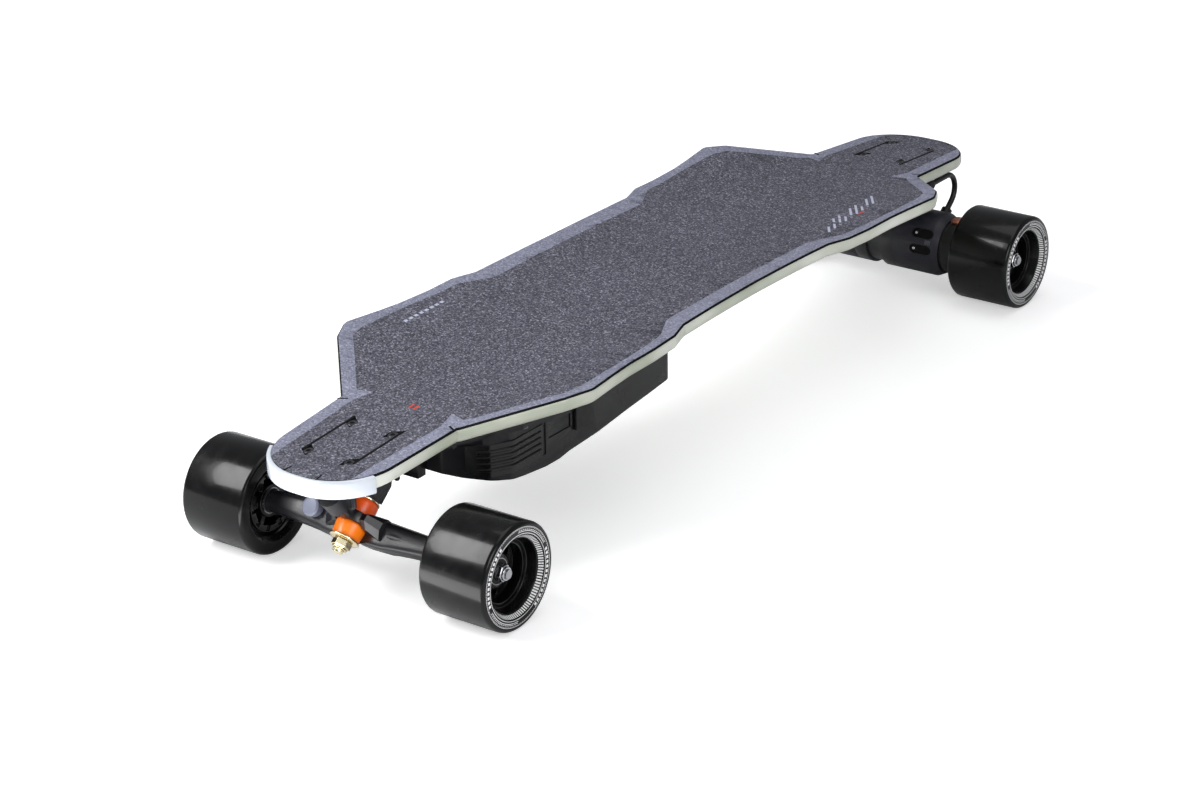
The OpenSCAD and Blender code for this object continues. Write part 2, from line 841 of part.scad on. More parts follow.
module core(end, s) {
    rim_wall = 3.5;
    teeth_n = 10;
    color("#151517")
        at_wheel(end, s)
            difference() {
                union() {
                    tube_z(core_r - rim_wall, core_r, 8, wheel_w - 14);
                    rod_z(bearing_r + hub_wall, bearing_inset, outer_bearing_z + bearing_w);
                    for (i = [0 : spokes - 1])
                        rotate([0, 0, i * 360 / spokes])
                            translate([bearing_r, -2.5, spoke_z0])
                                cube([core_r - bearing_r - 1, 5, outer_bearing_z - spoke_z0 + 1]);
                    rod_z(core_r - 1, outer_bearing_z - 2, outer_bearing_z + 2);
                    difference() {
                        tube_z(core_r - rim_wall - 3, core_r - 1, bearing_inset - 1, 10);
                        for (i = [0 : teeth_n - 1])
                            rotate([0, 0, i * 360 / teeth_n])
                                translate([core_r - 8, -2.5, 0]) cube([6, 5, 7]);
                    }
                }
                for (i = [0 : spokes - 1])
                    rotate([0, 0, (i + 0.5) * 360 / spokes])
                        translate([bearing_r + 8, 0, 0]) rod_z(3, outer_bearing_z - 9, wheel_w);
                rod_z(bearing_r, 0, bearing_inset + bearing_w);
                rod_z(bearing_r, outer_bearing_z, wheel_w);
                rod_z(bearing_r - 2.5, 0, wheel_w);
            }
}
module bearings(end, s) {
    color("#a9a9ad")
        at_wheel(end, s) {
            for (z = [bearing_inset, outer_bearing_z])
                tube_z(axle_r + fit, bearing_r, z, z + bearing_w);
            tube_z(axle_r + fit, 5.6, bearing_inset + bearing_w, outer_bearing_z);
        }
}

shroud_r = motor_r - 5;
shroud_y0 = motor_y1 + 3;
shroud_y1 = wheel_y0 - 2;
module rotor(s) {
    rotor_r = stator_bore_r - 0.6;
    drive_y1 = wheel_y0 + spoke_z0;
    color("#1d1d20")
        rotate([0, 0, REAR]) mirror([0, s == LEFT ? 1 : 0, 0]) at_axle()
            difference() {
                union() {
                    rod_y(rotor_r, stator_y0, stator_y1);
                    rod_y(sleeve_r, stator_y1 - 1, shroud_y1 + 1);
                    rod_y(shroud_r, shroud_y0, shroud_y1);
                    rod_y(core_r - 8, shroud_y1 - 1, drive_y1);
                }
                rod_y(axle_r + 0.6, stator_y0 - 1, drive_y1 + 1);
                rod_y(bearing_r + hub_wall + 0.3, bearing_y0 - 1, drive_y1 + 1);
            }
}
module drive_lugs(s) {
    lug_deg = 28;
    color("#b4552f")
        rotate([0, 0, REAR]) mirror([0, s == LEFT ? 1 : 0, 0]) at_axle()
            for (a = [0, 180])
                rotate([-90, 0, 0]) rotate([0, 0, a + 90 - lug_deg / 2])
                    translate([0, 0, shroud_y0])
                        rotate_extrude(angle = lug_deg)
                            translate([shroud_r, 0])
                                square([3.5, shroud_y1 - shroud_y0 - 2]);
}

// Enclosure under the front half
encl_x1 = axle_x - 46.5;
encl_x0 = encl_x1 - encl_l;
encl_corners = [
    [encl_x1, 44, 6],
    [encl_x1 - 22, encl_half_w - 10, 10],
    [encl_x1 - 40, encl_half_w, 14],
    [encl_x0, encl_half_w, 10],
];
encl_plan = closed(encl_corners);
floor_z = axle_z + 27;
// Underside of the enclosure, seen from the side, front to rear
floor_line = [
    [encl_x1, floor_z + 15],
    [encl_x1 - 10, floor_z + 11],
    [encl_x1 - 28, floor_z + 7],
    [encl_x1 - 56, floor_z + 3],
    [encl_x1 - 84, floor_z],
    [encl_x1 - 103, floor_z],
    [encl_x1 - 116, floor_z + 2],
    [encl_x1 - 155, floor_z + 4],
    [encl_x1 - 198, floor_z + 9],
    [encl_x0 + 36, floor_z + 12],
    [encl_x0, floor_z + 16],
];
module above_floor(raise) {
    rotate([90, 0, 0])
        linear_extrude(2 * far, center = true)
            polygon(concat(
                [[far, floor_line[0][1] + raise]],
                [for (p = floor_line) [p[0], p[1] + raise]],
                [[-far, floor_line[len(floor_line) - 1][1] + raise], [-far, far], [far, far]]
            ));
}
module encl_form(inset) {
    intersection() {
        prism(grow(encl_plan, -inset));
        above_floor(inset);
    }
}
// Flange edge: inside the deck outline and round the enclosure
module flange_room(low, high) {
    intersection() {
        layer(-deck_t - high, -deck_t - low);
        prism(grow(encl_plan, flange_w));
        prism(grow(grip_corners, -1));
    }
}

encl_screw_r = 2;
encl_screw_in = 8;
encl_screw_head_r = 3.5;
encl_screw_head_t = 2.5;
flange_low = gasket_t + flange_t;
screw_y = encl_half_w + flange_w / 2;
screw_n = 5;
screw_x = [for (i = [0 : screw_n - 1]) encl_x0 + 10 + i * (encl_l - 60) / (screw_n - 1)];
function screw_top(x) = bottom_z(x) + rise(x, screw_y);
function screw_seat(x) = screw_top(x) - flange_low + 1;
module enclosure_screw_rods(r, in) {
    both_sides()
        for (x = screw_x)
            translate([x, screw_y, 0]) rod_z(r, screw_seat(x), screw_top(x) + in);
}

// Charging socket on the left wall and its hinged cover
jack_x = encl_x1 - 135;
jack_z = floor_z + 29;
jack_depth = 8;
jack_body_r = jack_r + 2.5;
cover_w = 24;
cover_t = 2.2;
cover_drop = 25;
cover_gap = 0.3;
cover_y = encl_half_w + cover_gap;
hinge_z = jack_z + 14;
hinge_r = 1.8;
hinge_pin_r = 0.8;
hinge_y = encl_half_w + hinge_r + 0.5;
ear_w = 3;
// Power button on the right wall
button_x = jack_x;
button_z = jack_z;
button_proud = 1.2;
panel_x0 = encl_x1 - 84;
panel_l = 42;
panel_z0 = floor_z + 11;
panel_h = 28;
scoop_x0 = encl_x1 - 118;
scoop_l = 30;
scoop_z0 = floor_z + 23;
scoop_h = 12;

module enclosure_shell() {
    rib_n = 3;
    rib_x = [for (i = [1 : rib_n]) tray_x0 + i * tray_l / (rib_n + 1)];
    color("#17171a")
        difference() {
            union() {
                difference() {
                    union() {
                        intersection() {
                            encl_form(0);
                            under_deck(gasket_t);
                        }
                        flange_room(gasket_t, flange_low);
                    }
                    encl_form(encl_wall);
                }
                intersection() {
                    encl_form(encl_wall / 2);
                    union() {
                        for (x = rib_x) translate([x, -far, 0]) cube([3, 2 * far, tray_z]);
                        translate([controller_x0 + controller_l / 2, -far, 0])
                            cube([3, 2 * far, controller_z]);
                    }
                }
                for (x = [jack_x - cover_w / 2 - ear_w - gap, jack_x + cover_w / 2 + gap])
                    translate([x, encl_half_w - 1, hinge_z - hinge_r])
                        cube([ear_w, hinge_y - encl_half_w + 1, 2 * hinge_r]);
                for (x = [jack_x - cover_w / 2 - ear_w - gap, jack_x + cover_w / 2 + gap])
                    translate([x, hinge_y, hinge_z]) rod_x(hinge_r, 0, ear_w);
                translate([jack_x, hinge_y, hinge_z])
                    rod_x(hinge_pin_r, -cover_w / 2 - ear_w, cover_w / 2 + ear_w);
            }
            both_sides()
                for (x = screw_x)
                    translate([x, screw_y, 0]) {
                        rod_z(encl_screw_r + 0.2, screw_seat(x) - 1, far);
                        rod_z(encl_screw_head_r + 0.2, 0, screw_seat(x));
                    }
            translate([jack_x, 0, jack_z]) rod_y(jack_body_r + fit, encl_half_w - 9, far);
            translate([button_x, 0, button_z]) rod_y(button_r + gap, -far, 9 - encl_half_w);
            both_sides()
                translate([panel_x0, encl_half_w - 1, panel_z0]) cube([panel_l, 5, panel_h]);
            both_sides()
                translate([scoop_x0, encl_half_w - 1.2, scoop_z0]) cube([scoop_l, 5, scoop_h]);
        }
}

module enclosure_gasket() {
    color("#0c0c0c")
        difference() {
            flange_room(0, gasket_t);
            prism(grow(encl_plan, -encl_wall));
            enclosure_screw_rods(encl_screw_r + 0.2, 2 * deck_t);
        }
}

module enclosure_screws() {
    color("#3a3a3e") {
        both_sides()
            for (x = screw_x)
                translate([x, screw_y, 0])
                    difference() {
                        union() {
                            rod_z(encl_screw_r, screw_seat(x), screw_top(x) + encl_screw_in);
                            rod_z(encl_screw_head_r, screw_seat(x) - encl_screw_head_t, screw_seat(x));
                        }
                        translate([0, 0, screw_seat(x) - encl_screw_head_t - 1])
                            cylinder(r = 1.4, h = 2.5, $fn = 6);
                    }
    }
}

module side_panels() {
    ribs = 5;
    rib_h = 2.4;
    pitch = panel_h / (ribs + 1);
    color("#0f0f11")
        both_sides() {
            translate([panel_x0 + gap, encl_half_w - 1, panel_z0 + gap]) {
                cube([panel_l - 2 * gap, 1.4, panel_h - 2 * gap]);
                for (i = [1 : ribs])
                    translate([5, 1, i * pitch - rib_h / 2]) cube([panel_l - 10, 1.6, rib_h]);
            }
        }
}

cable_block_l = 10;
module front_cable_block() {
    color("#131315")
        intersection() {
            under_deck(flange_low);
            union() {
                translate([encl_x1, -28, floor_z + 10]) cube([cable_block_l, 56, far]);
                both_sides()
                    translate([encl_x1 + cable_block_l - 3, 20, 0]) rod_z(4.5, floor_z + 16, far);
            }
        }
}

// Battery and electronics inside
tray_z = floor_z + 20;
tray_t = 1.5;
cell_pitch = 2 * cell_r + 0.4;
tray_x0 = encl_x0 + 8;
tray_l = cell_n * cell_pitch + 2 * tray_t + 1;
tray_half_w = cell_l + 3.5;
module battery_tray() {
    color("#2c4a63")
        difference() {
            translate([tray_x0, -tray_half_w, tray_z]) cube([tray_l, 2 * tray_half_w, 14]);
            translate([tray_x0 + tray_t, tray_t - tray_half_w, tray_z + tray_t])
                cube([tray_l - 2 * tray_t, 2 * (tray_half_w - tray_t), 14]);
        }
}
module battery_cells() {
    color("#3f7d4e")
        for (i = [0 : cell_n - 1])
            both_sides()
                translate([
                    tray_x0 + tray_t + 0.5 + (i + 0.5) * cell_pitch,
                    1,
                    tray_z + tray_t + cell_r
                ])
                    rod_y(cell_r, 0, cell_l);
}
controller_x0 = tray_x0 + tray_l + 3;
controller_l = encl_x1 - 14 - controller_x0;
controller_half_w = 56;
controller_z = floor_z + 14;
controller_h = 18;
module motor_controller() {
    fins = 9;
    pitch = 2 * controller_half_w / (fins + 1);
    color("#7d8085")
        difference() {
            translate([controller_x0, -controller_half_w, controller_z])
                cube([controller_l, 2 * controller_half_w, controller_h]);
            for (i = [1 : fins])
                translate([controller_x0 - 1, i * pitch - controller_half_w - 2, controller_z + controller_h - 5])
                    cube([controller_l + 2, 4, 10]);
        }
}
module battery_leads() {
    lead_r = 1.6;
    lead_y = [10, 22];
    color("#b01818")
        for (y = lead_y)
            translate([0, y, controller_z + 5.5])
                rod_x(lead_r, tray_x0 + tray_l, controller_x0);
}

module charge_jack() {
    color("#3a3a3e")
        translate([jack_x, 0, jack_z])
            difference() {
                rod_y(jack_body_r, encl_half_w - 12, encl_half_w);
                rod_y(jack_r, encl_half_w - jack_depth, encl_half_w + 1);
            }
}
module charge_cover() {
    color("#111113")
        difference() {
            union() {
                translate([jack_x - cover_w / 2, cover_y, hinge_z - cover_drop])
                    cube([cover_w, cover_t, cover_drop]);
                translate([jack_x, hinge_y, hinge_z]) rod_x(hinge_r, -cover_w / 2, cover_w / 2);
            }
            translate([jack_x, hinge_y, hinge_z]) rod_x(hinge_pin_r + fit, -cover_w, cover_w);
        }
}
module power_button() {
    color("#2a2a2e")
        translate([button_x, 0, button_z]) {
            rod_y(button_r, -encl_half_w - button_proud, encl_wall + 1 - encl_half_w);
            rod_y(button_r + 2, encl_wall - encl_half_w, encl_wall + 1.5 - encl_half_w);
        }
}
module power_switch() {
    switch_y = encl_wall + 1.5 + button_travel + 0.3 - encl_half_w;
    color("#1f5d3a")
        translate([button_x - 10, switch_y, button_z - 10])
            cube([20, -tray_half_w - switch_y, 20]);
}

deck_core();
grip_centre();
grip_border();
nose_bumper();
deck_cable_ribbon();
riser_pads();
rotate([0, 0, FRONT]) baseplate();  // front_baseplate
rotate([0, 0, REAR]) baseplate();  // rear_baseplate
kingpins();
kingpin_nuts();
pivot_cups();
rotate([0, 0, FRONT]) bushings();  // front_bushings
rotate([0, 0, REAR]) bushings();  // rear_bushings
cup_washers();
truck_bolts();
truck_lock_nuts();
enclosure_shell();
enclosure_gasket();
enclosure_screws();
side_panels();
front_cable_block();
battery_cells();
battery_tray();
battery_leads();
motor_controller();
charge_jack();
charge_cover();
power_button();
power_switch();
cable_strain_reliefs();
motor_cable(LEFT);  // left_motor_cable
motor_cable(RIGHT);  // right_motor_cable
front_hanger();
rotate([0, 0, FRONT]) axle();  // front_axle
rotate([0, 0, FRONT]) axle_nuts();  // front_axle_nuts
rotate([0, 0, FRONT]) speed_washers(true);  // front_speed_washers
rear_hanger();
rotate([0, 0, REAR]) axle();  // rear_axle
rotate([0, 0, REAR]) axle_nuts();  // rear_axle_nuts
rotate([0, 0, REAR]) speed_washers(false);  // rear_speed_washers
motor_housings();
motor_stators();
motor_cable_glands();
tyre(FRONT, LEFT);  // front_left_tyre
core(FRONT, LEFT);  // front_left_core
bearings(FRONT, LEFT);  // front_left_bearings
tyre(FRONT, RIGHT);  // front_right_tyre
core(FRONT, RIGHT);  // front_right_core
bearings(FRONT, RIGHT);  // front_right_bearings
tyre(REAR, LEFT);  // rear_left_tyre
core(REAR, LEFT);  // rear_left_core
bearings(REAR, LEFT);  // rear_left_bearings
rotor(LEFT);  // rear_left_rotor
drive_lugs(LEFT);  // rear_left_drive_lugs
tyre(REAR, RIGHT);  // rear_right_tyre
core(REAR, RIGHT);  // rear_right_core
bearings(REAR, RIGHT);  // rear_right_bearings
rotor(RIGHT);  // rear_right_rotor
drive_lugs(RIGHT);  // rear_right_drive_lugs
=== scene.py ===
"""Looks of the electric longboard, dressed over its solids.

Lengths are millimetres until a mesh is made; +X is forward, +Y is the rider's left.
"""

import json
import math

import bmesh
import bpy
from mathutils import Matrix, Vector


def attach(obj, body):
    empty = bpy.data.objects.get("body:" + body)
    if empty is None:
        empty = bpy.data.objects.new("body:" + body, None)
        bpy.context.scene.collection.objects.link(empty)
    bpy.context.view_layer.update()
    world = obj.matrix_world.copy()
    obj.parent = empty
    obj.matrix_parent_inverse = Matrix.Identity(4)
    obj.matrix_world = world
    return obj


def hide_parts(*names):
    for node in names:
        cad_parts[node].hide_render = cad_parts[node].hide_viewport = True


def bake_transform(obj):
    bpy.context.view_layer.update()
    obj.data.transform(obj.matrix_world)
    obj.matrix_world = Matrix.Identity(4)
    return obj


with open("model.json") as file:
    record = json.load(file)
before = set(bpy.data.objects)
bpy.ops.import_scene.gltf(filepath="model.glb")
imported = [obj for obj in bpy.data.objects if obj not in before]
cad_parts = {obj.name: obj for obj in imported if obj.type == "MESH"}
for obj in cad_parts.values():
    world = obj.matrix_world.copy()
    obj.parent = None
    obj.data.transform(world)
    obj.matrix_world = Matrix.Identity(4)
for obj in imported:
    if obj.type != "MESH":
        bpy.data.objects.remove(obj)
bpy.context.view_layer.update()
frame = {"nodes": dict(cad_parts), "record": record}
NODES = frame["nodes"]
BODY_OF = {n: b for b, members in frame["record"]["behaviour"]["bodies"].items() for n in members}

MM = 0.001
FRONT, REAR = 1, -1
LEFT, RIGHT = 1, -1
ENDS = {"front": FRONT, "rear": REAR}
SIDES = {"left": LEFT, "right": RIGHT}
WHEELS = {e + "_" + s: (ENDS[e], SIDES[s]) for e in ENDS for s in SIDES}

# Driving dimensions
overall_l = 968
deck_t = 12
camber = 19
platform_tilt = 4
grip_t = 1
edge_w = 2
bumper_out = 2
bumper_run = 32
nose_half_w = 52
nose_r = 49
neck_half_w = 58
wing_half_w = 127
mid_half_w = 106
flat_half_w = 60
rail_tilt = 5.5
wing_tilt = 12
wheelbase = 813
bolt_offset = 9.5
truck_h = 67
steer_rake = 50
seat_x = 16
wheel_d = 90
wheel_w = 64
wheel_y0 = 90.2
motor_r = 31
cable_y = 48
cable_d = 5.5
cable_bend = 16.5
cable_turn = 140
bolt_r = 2.5
kingpin_r = 4.75
bushing_bore_r = 4.9
bushing_near, bushing_far = 4.3, 17.2
axle_r = 4
axle_end = 144.9

# Bevel and crease angles, and how the photograph was taken
sharp_angle = 28
smooth_angle = 32
camera_place = (2.156416, 1.498487, 1.146071)
camera_azimuth, camera_elevation, camera_roll = 125.8662, 23.3698, -0.8179
camera_lens, camera_sensor = 96.0626, 36

# Derived places
axle_x = wheelbase / 2
axle_z = wheel_d / 2
half_l = overall_l / 2
bolt_x = axle_x + bolt_offset
bolt_dx = 53.975
bolt_dy = 41.275
platform_z = axle_z + truck_h
crown_z = platform_z + deck_t + camber
slope = math.tan(math.radians(platform_tilt))
bend_x = 2 * (bolt_x - camber / slope)
neck_x = axle_x - wheel_d / 2 - 4.5
grip_nose_x = half_l - bumper_out - edge_w
grip_tail_x = half_l - edge_w
rail_x0, rail_x1 = 170, 290
sit = 0.03  # depth of the smooth deck under the CAD's highest facets
encl_x1 = axle_x - 46.5
encl_l = 265
encl_half_w = 85
floor_z = axle_z + 27


def top_z(x):
    """Height of the deck's top at x."""
    if abs(x) < bend_x:
        return crown_z - x * x * slope / (2 * bend_x)
    return crown_z - slope * (abs(x) - bend_x / 2)


def rail_slope(x):
    """Upward slope of the rails outside the deck's flat middle."""
    low, high = math.tan(math.radians(rail_tilt)), math.tan(math.radians(wing_tilt))
    return low + (high - low) * min(1, max(0, (abs(x) - rail_x0) / (rail_x1 - rail_x0)))


def surface_z(x, y):
    """Height of the deck's top at a point of the plan."""
    return top_z(x) + rail_slope(x) * max(0, abs(y) - flat_half_w) - sit


# Frames, each a matrix in millimetres


def turned(axis, degrees):
    return Matrix.Rotation(math.radians(degrees), 4, axis)


def moved(x, y, z):
    return Matrix.Translation((x, y, z))


def at_end(end):
    return Matrix.Identity(4) if end == FRONT else turned("Z", 180)


def at_axle(end):
    return at_end(end) @ moved(axle_x, 0, axle_z)


def at_kingpin(end):
    return at_axle(end) @ turned("Y", -steer_rake) @ moved(seat_x, 0, 0)


def at_platform(end):
    return at_end(end) @ moved(bolt_x, 0, platform_z) @ turned("Y", platform_tilt)


def at_wheel(end, side):
    """Wheel frame: +Z runs outwards from the wheel's inner face."""
    return moved(end * axle_x, 0, axle_z) @ turned("X", -90 * side) @ moved(0, 0, wheel_y0)


# Outlines: corners are (x, y, radius)


def unit(v):
    length = math.hypot(v[0], v[1])
    return v[0] / length, v[1] / length


def grown(corners, distance):
    """The outline moved outwards by a distance, its corner radii changed to suit."""
    made = []
    for i, (x, y, r) in enumerate(corners):
        px, py, _ = corners[i - 1]
        nx, ny, _ = corners[(i + 1) % len(corners)]
        a = unit((x - px, y - py))
        b = unit((nx - x, ny - y))
        m = (a[1], -a[0])
        n = (b[1], -b[0])
        reach = distance / (1 + m[0] * n[0] + m[1] * n[1])
        left_turn = m[0] * n[1] - m[1] * n[0] > 0
        radius = 0 if r == 0 else max(0.4, r + distance if left_turn else r - distance)
        made.append((x + (m[0] + n[0]) * reach, y + (m[1] + n[1]) * reach, radius))
    return made


def rounded(corners, step=4.5):
    """Points of the outline with every corner rounded to its radius."""
    points = []
    for i, (x, y, r) in enumerate(corners):
        if r == 0:
            points.append((x, y))
            continue
        px, py, _ = corners[i - 1]
        nx, ny, _ = corners[(i + 1) % len(corners)]
        u = unit((px - x, py - y))
        v = unit((nx - x, ny - y))
        half = math.acos(max(-1.0, min(1.0, u[0] * v[0] + u[1] * v[1]))) / 2
        w = unit((u[0] + v[0], u[1] + v[1]))
        cx = x + w[0] * r / math.sin(half)
        cy = y + w[1] * r / math.sin(half)
        first = math.atan2(y + u[1] * r / math.tan(half) - cy, x + u[0] * r / math.tan(half) - cx)
        turns_left = -(u[0] * v[1] - u[1] * v[0]) > 0
        sweep = (math.pi - 2 * half) * (1 if turns_left else -1)
        n = max(2, math.ceil(round(abs(math.degrees(sweep)) / step, 4)))
        for k in range(n + 1):
            a = first + sweep * k / n
            points.append((cx + r * math.cos(a), cy + r * math.sin(a)))
    return points


def deck_quarter(tip_x):
    """Grip outline from the tip to the narrow of the deck's middle."""
    return [
        (tip_x, nose_half_w, nose_r),
        (neck_x, neck_half_w, 3),
        (neck_x - 66, wing_half_w - 10.5, 14),
        (neck_x - 88, wing_half_w, 14),
        (neck_x - 125, wing_half_w - 5.3, 20),
        (neck_x - 150, mid_half_w + 12.8, 0),
        (neck_x - 219, mid_half_w + 10.2, 6),
        (neck_x - 243, mid_half_w + 2.6, 6),
    ]


def closed_outline():
    front = deck_quarter(grip_nose_x)
    rear = [(-x, y, r) for x, y, r in deck_quarter(grip_tail_x)]
    left = front + [(0, mid_half_w, 3000)] + rear[::-1]
    return left + [(x, -y, r) for x, y, r in left[::-1]]


grip_corners = closed_outline()


# Mesh helpers


def bridge(bm, rings, loop=True):
    """Faces between neighbouring rings of vertices."""
    for low, high in zip(rings, rings[1:]):
        n = len(low)
        for i in range(n if loop else n - 1):
            j = (i + 1) % n
            bm.faces.new((low[i], low[j], high[j], high[i]))


def ring(bm, place, points):
    return [bm.verts.new(place @ Vector(p)) for p in points]


def skin(bm, rings):
    """Solid from rings of vertices, closed by a face at each end."""
    bridge(bm, rings)
    bm.faces.new(rings[0][::-1])
    bm.faces.new(rings[-1])


def loft(bm, place, sections):
    """Solid through a list of sections, each a closed list of points."""
    skin(bm, [ring(bm, place, s) for s in sections])


def lathe(bm, place, profile, steps=96):
    """Turns a closed profile of (radius, height) points round the frame's Z."""
    rings = []
    for i in range(steps):
        a = 2 * math.pi * i / steps
        c, s = math.cos(a), math.sin(a)
        rings.append(ring(bm, place, [(r * c, r * s, z) for r, z in profile]))
    n = len(profile)
    for here, after in zip(rings, rings[1:] + rings[:1]):
        for j in range(n):
            k = (j + 1) % n
            bm.faces.new((here[j], after[j], after[k], here[k]))


def turned_solid(bm, place, corners, steps=96):
    """Solid of revolution from (radius, height, corner radius) corners."""
    lathe(bm, place, rounded(corners, 22.5), steps)


def extruded(bm, place, corners, low, high, chamfer=0.4):
    """Prism of a cornered outline with both its edges chamfered."""
    steps = [(-chamfer, low), (0, low + chamfer), (0, high - chamfer), (-chamfer, high)]
    loft(bm, place, [[(x, y, z) for x, y in rounded(grown(corners, d))] for d, z in steps])


def block(bm, place, low, high, radius=1.0, chamfer=0.4):
    """Box with rounded upright edges and chamfered ends."""
    x0, y0, z0 = low
    x1, y1, z1 = high
    corners = [(x0, y0, radius), (x1, y0, radius), (x1, y1, radius), (x0, y1, radius)]
    extruded(bm, place, corners, z0, z1, chamfer)


def polygon_corners(radius, sides, corner=0.5):
    turns = [2 * math.pi * i / sides for i in range(sides)]
    return [(radius * math.cos(a), radius * math.sin(a), corner) for a in turns]


def threaded(bm, place, radius, low, high, pitch=1.25, steps=32):
    """Screw thread as a wavy turned rod with a chamfered end."""
    profile = [(0.01, low), (radius - 0.6, low)]
    count = max(2, int((high - low - 1) / pitch))
    for i in range(count):
        z = low + 0.6 + i * pitch
        profile += [(radius - 0.45, z), (radius, z + pitch * 0.5)]
    profile += [(radius - 0.1, high), (0.01, high)]
    lathe(bm, place, profile, steps)


def sliced(bm, place, normal, **options):
    """Cuts a mesh along a plane; clear_inner or clear_outer drops one side of it."""
    everything = bm.verts[:] + bm.edges[:] + bm.faces[:]
    bmesh.ops.bisect_plane(bm, geom=everything, plane_co=place, plane_no=normal, **options)


def flattened(bm):
    """Joins faces that lie in one plane."""
    verts, edges = bm.verts[:], bm.edges[:]
    bmesh.ops.dissolve_limit(bm, angle_limit=math.radians(0.4), verts=verts, edges=edges)


def round_edges(bm, width):
    """Rounds the sharp edges of a mesh in metres by a width in millimetres."""
    least = math.radians(sharp_angle)
    sharp = [e for e in bm.edges if len(e.link_faces) == 2 and e.calc_face_angle(0) > least]
    bmesh.ops.bevel(
        bm,
        geom=sharp,
        offset=width * MM,
        offset_type="OFFSET",
        segments=2,
        profile=0.5,
        affect="EDGES",
        clamp_overlap=True,
    )


def shade(mesh, angle=smooth_angle):
    for polygon in mesh.polygons:
        polygon.use_smooth = True
    mesh.set_sharp_from_angle(angle=math.radians(angle))


def finish_mesh(name, bm, scale=MM, angle=smooth_angle):
    bmesh.ops.scale(bm, vec=(scale,) * 3, verts=bm.verts)
    bmesh.ops.remove_doubles(bm, verts=bm.verts, dist=2e-7)
    bmesh.ops.recalc_face_normals(bm, faces=bm.faces)
    mesh = bpy.data.meshes.new(name)
    bm.to_mesh(mesh)
    bm.free()
    shade(mesh, angle)
    obj = bpy.data.objects.new(name, mesh)
    bpy.context.scene.collection.objects.link(obj)
    return obj


def dress(obj, material):
    obj.data.materials.clear()
    obj.data.materials.append(material)


def settle(obj, material, body=None, nodes=()):
    """Gives a piece its material, its body and the CAD nodes that it stands for."""
    dress(obj, material)
    if body:
        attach(obj, body)
    if nodes:
        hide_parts(*nodes)
    return obj


def piece(name, bm, body, material, nodes=(), angle=smooth_angle):
    """A finished piece that rides on a body and may stand for CAD nodes."""
    return settle(finish_mesh(name, bm, MM, angle), material, body, nodes)


def flexing(name, bm, material, node, truck, start, end):
    """A soft piece standing for a CAD node, baked in place and left unbent; truck, start and end
    are not used.
    """
    obj = settle(finish_mesh(name, bm), material, nodes=[node])
    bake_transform(obj)


def refined(node, material, width):
    """A CAD node's own shape with its sharp edges rounded off."""
    bm = bmesh.new()
    bm.from_mesh(NODES[node].data)
    bmesh.ops.remove_doubles(bm, verts=bm.verts, dist=2e-6)
    flattened(bm)
    round_edges(bm, width)
    settle(finish_mesh(node + "_body", bm, 1.0, 35), material, BODY_OF[node], [node])


def cut(obj, make):
    """Takes away from a piece the solids that make() adds to a mesh."""
    bm = bmesh.new()
    make(bm)
    cutter = finish_mesh("cutter", bm)
    modifier = obj.modifiers.new("cut", "BOOLEAN")
    modifier.object = cutter
    modifier.operation = "DIFFERENCE"
    modifier.solver = "EXACT"
    graph = bpy.context.evaluated_depsgraph_get()
    mesh = bpy.data.meshes.new_from_object(obj.evaluated_get(graph))
    obj.modifiers.clear()
    obj.data = mesh
    shade(mesh)
    bpy.data.objects.remove(cutter)


# Materials


def linear(colour):
    """An sRGB colour of 0 to 255 as linear values."""
    made = []
    for c in colour:
        c /= 255
        made.append(c / 12.92 if c <= 0.04045 else ((c + 0.055) / 1.055) ** 2.4)
    return (*made, 1.0)


def scaled(colour, share):
    """A linear colour made darker or lighter, up to white."""
    return (*[min(1, c * share) for c in colour[:3]], 1)


def grey(level):
    return (level, level, level, 1)


def add_node(tree, kind, inputs=(), **settings):
    """A new node, with its settings made and its inputs linked or set."""
    node = tree.nodes.new(kind)
    for name, value in settings.items():
        setattr(node, name, value)
    for key, value in dict(inputs).items():
        if isinstance(value, bpy.types.NodeSocket):
            tree.links.new(value, node.inputs[key])
        else:
            node.inputs[key].default_value = value
    return node


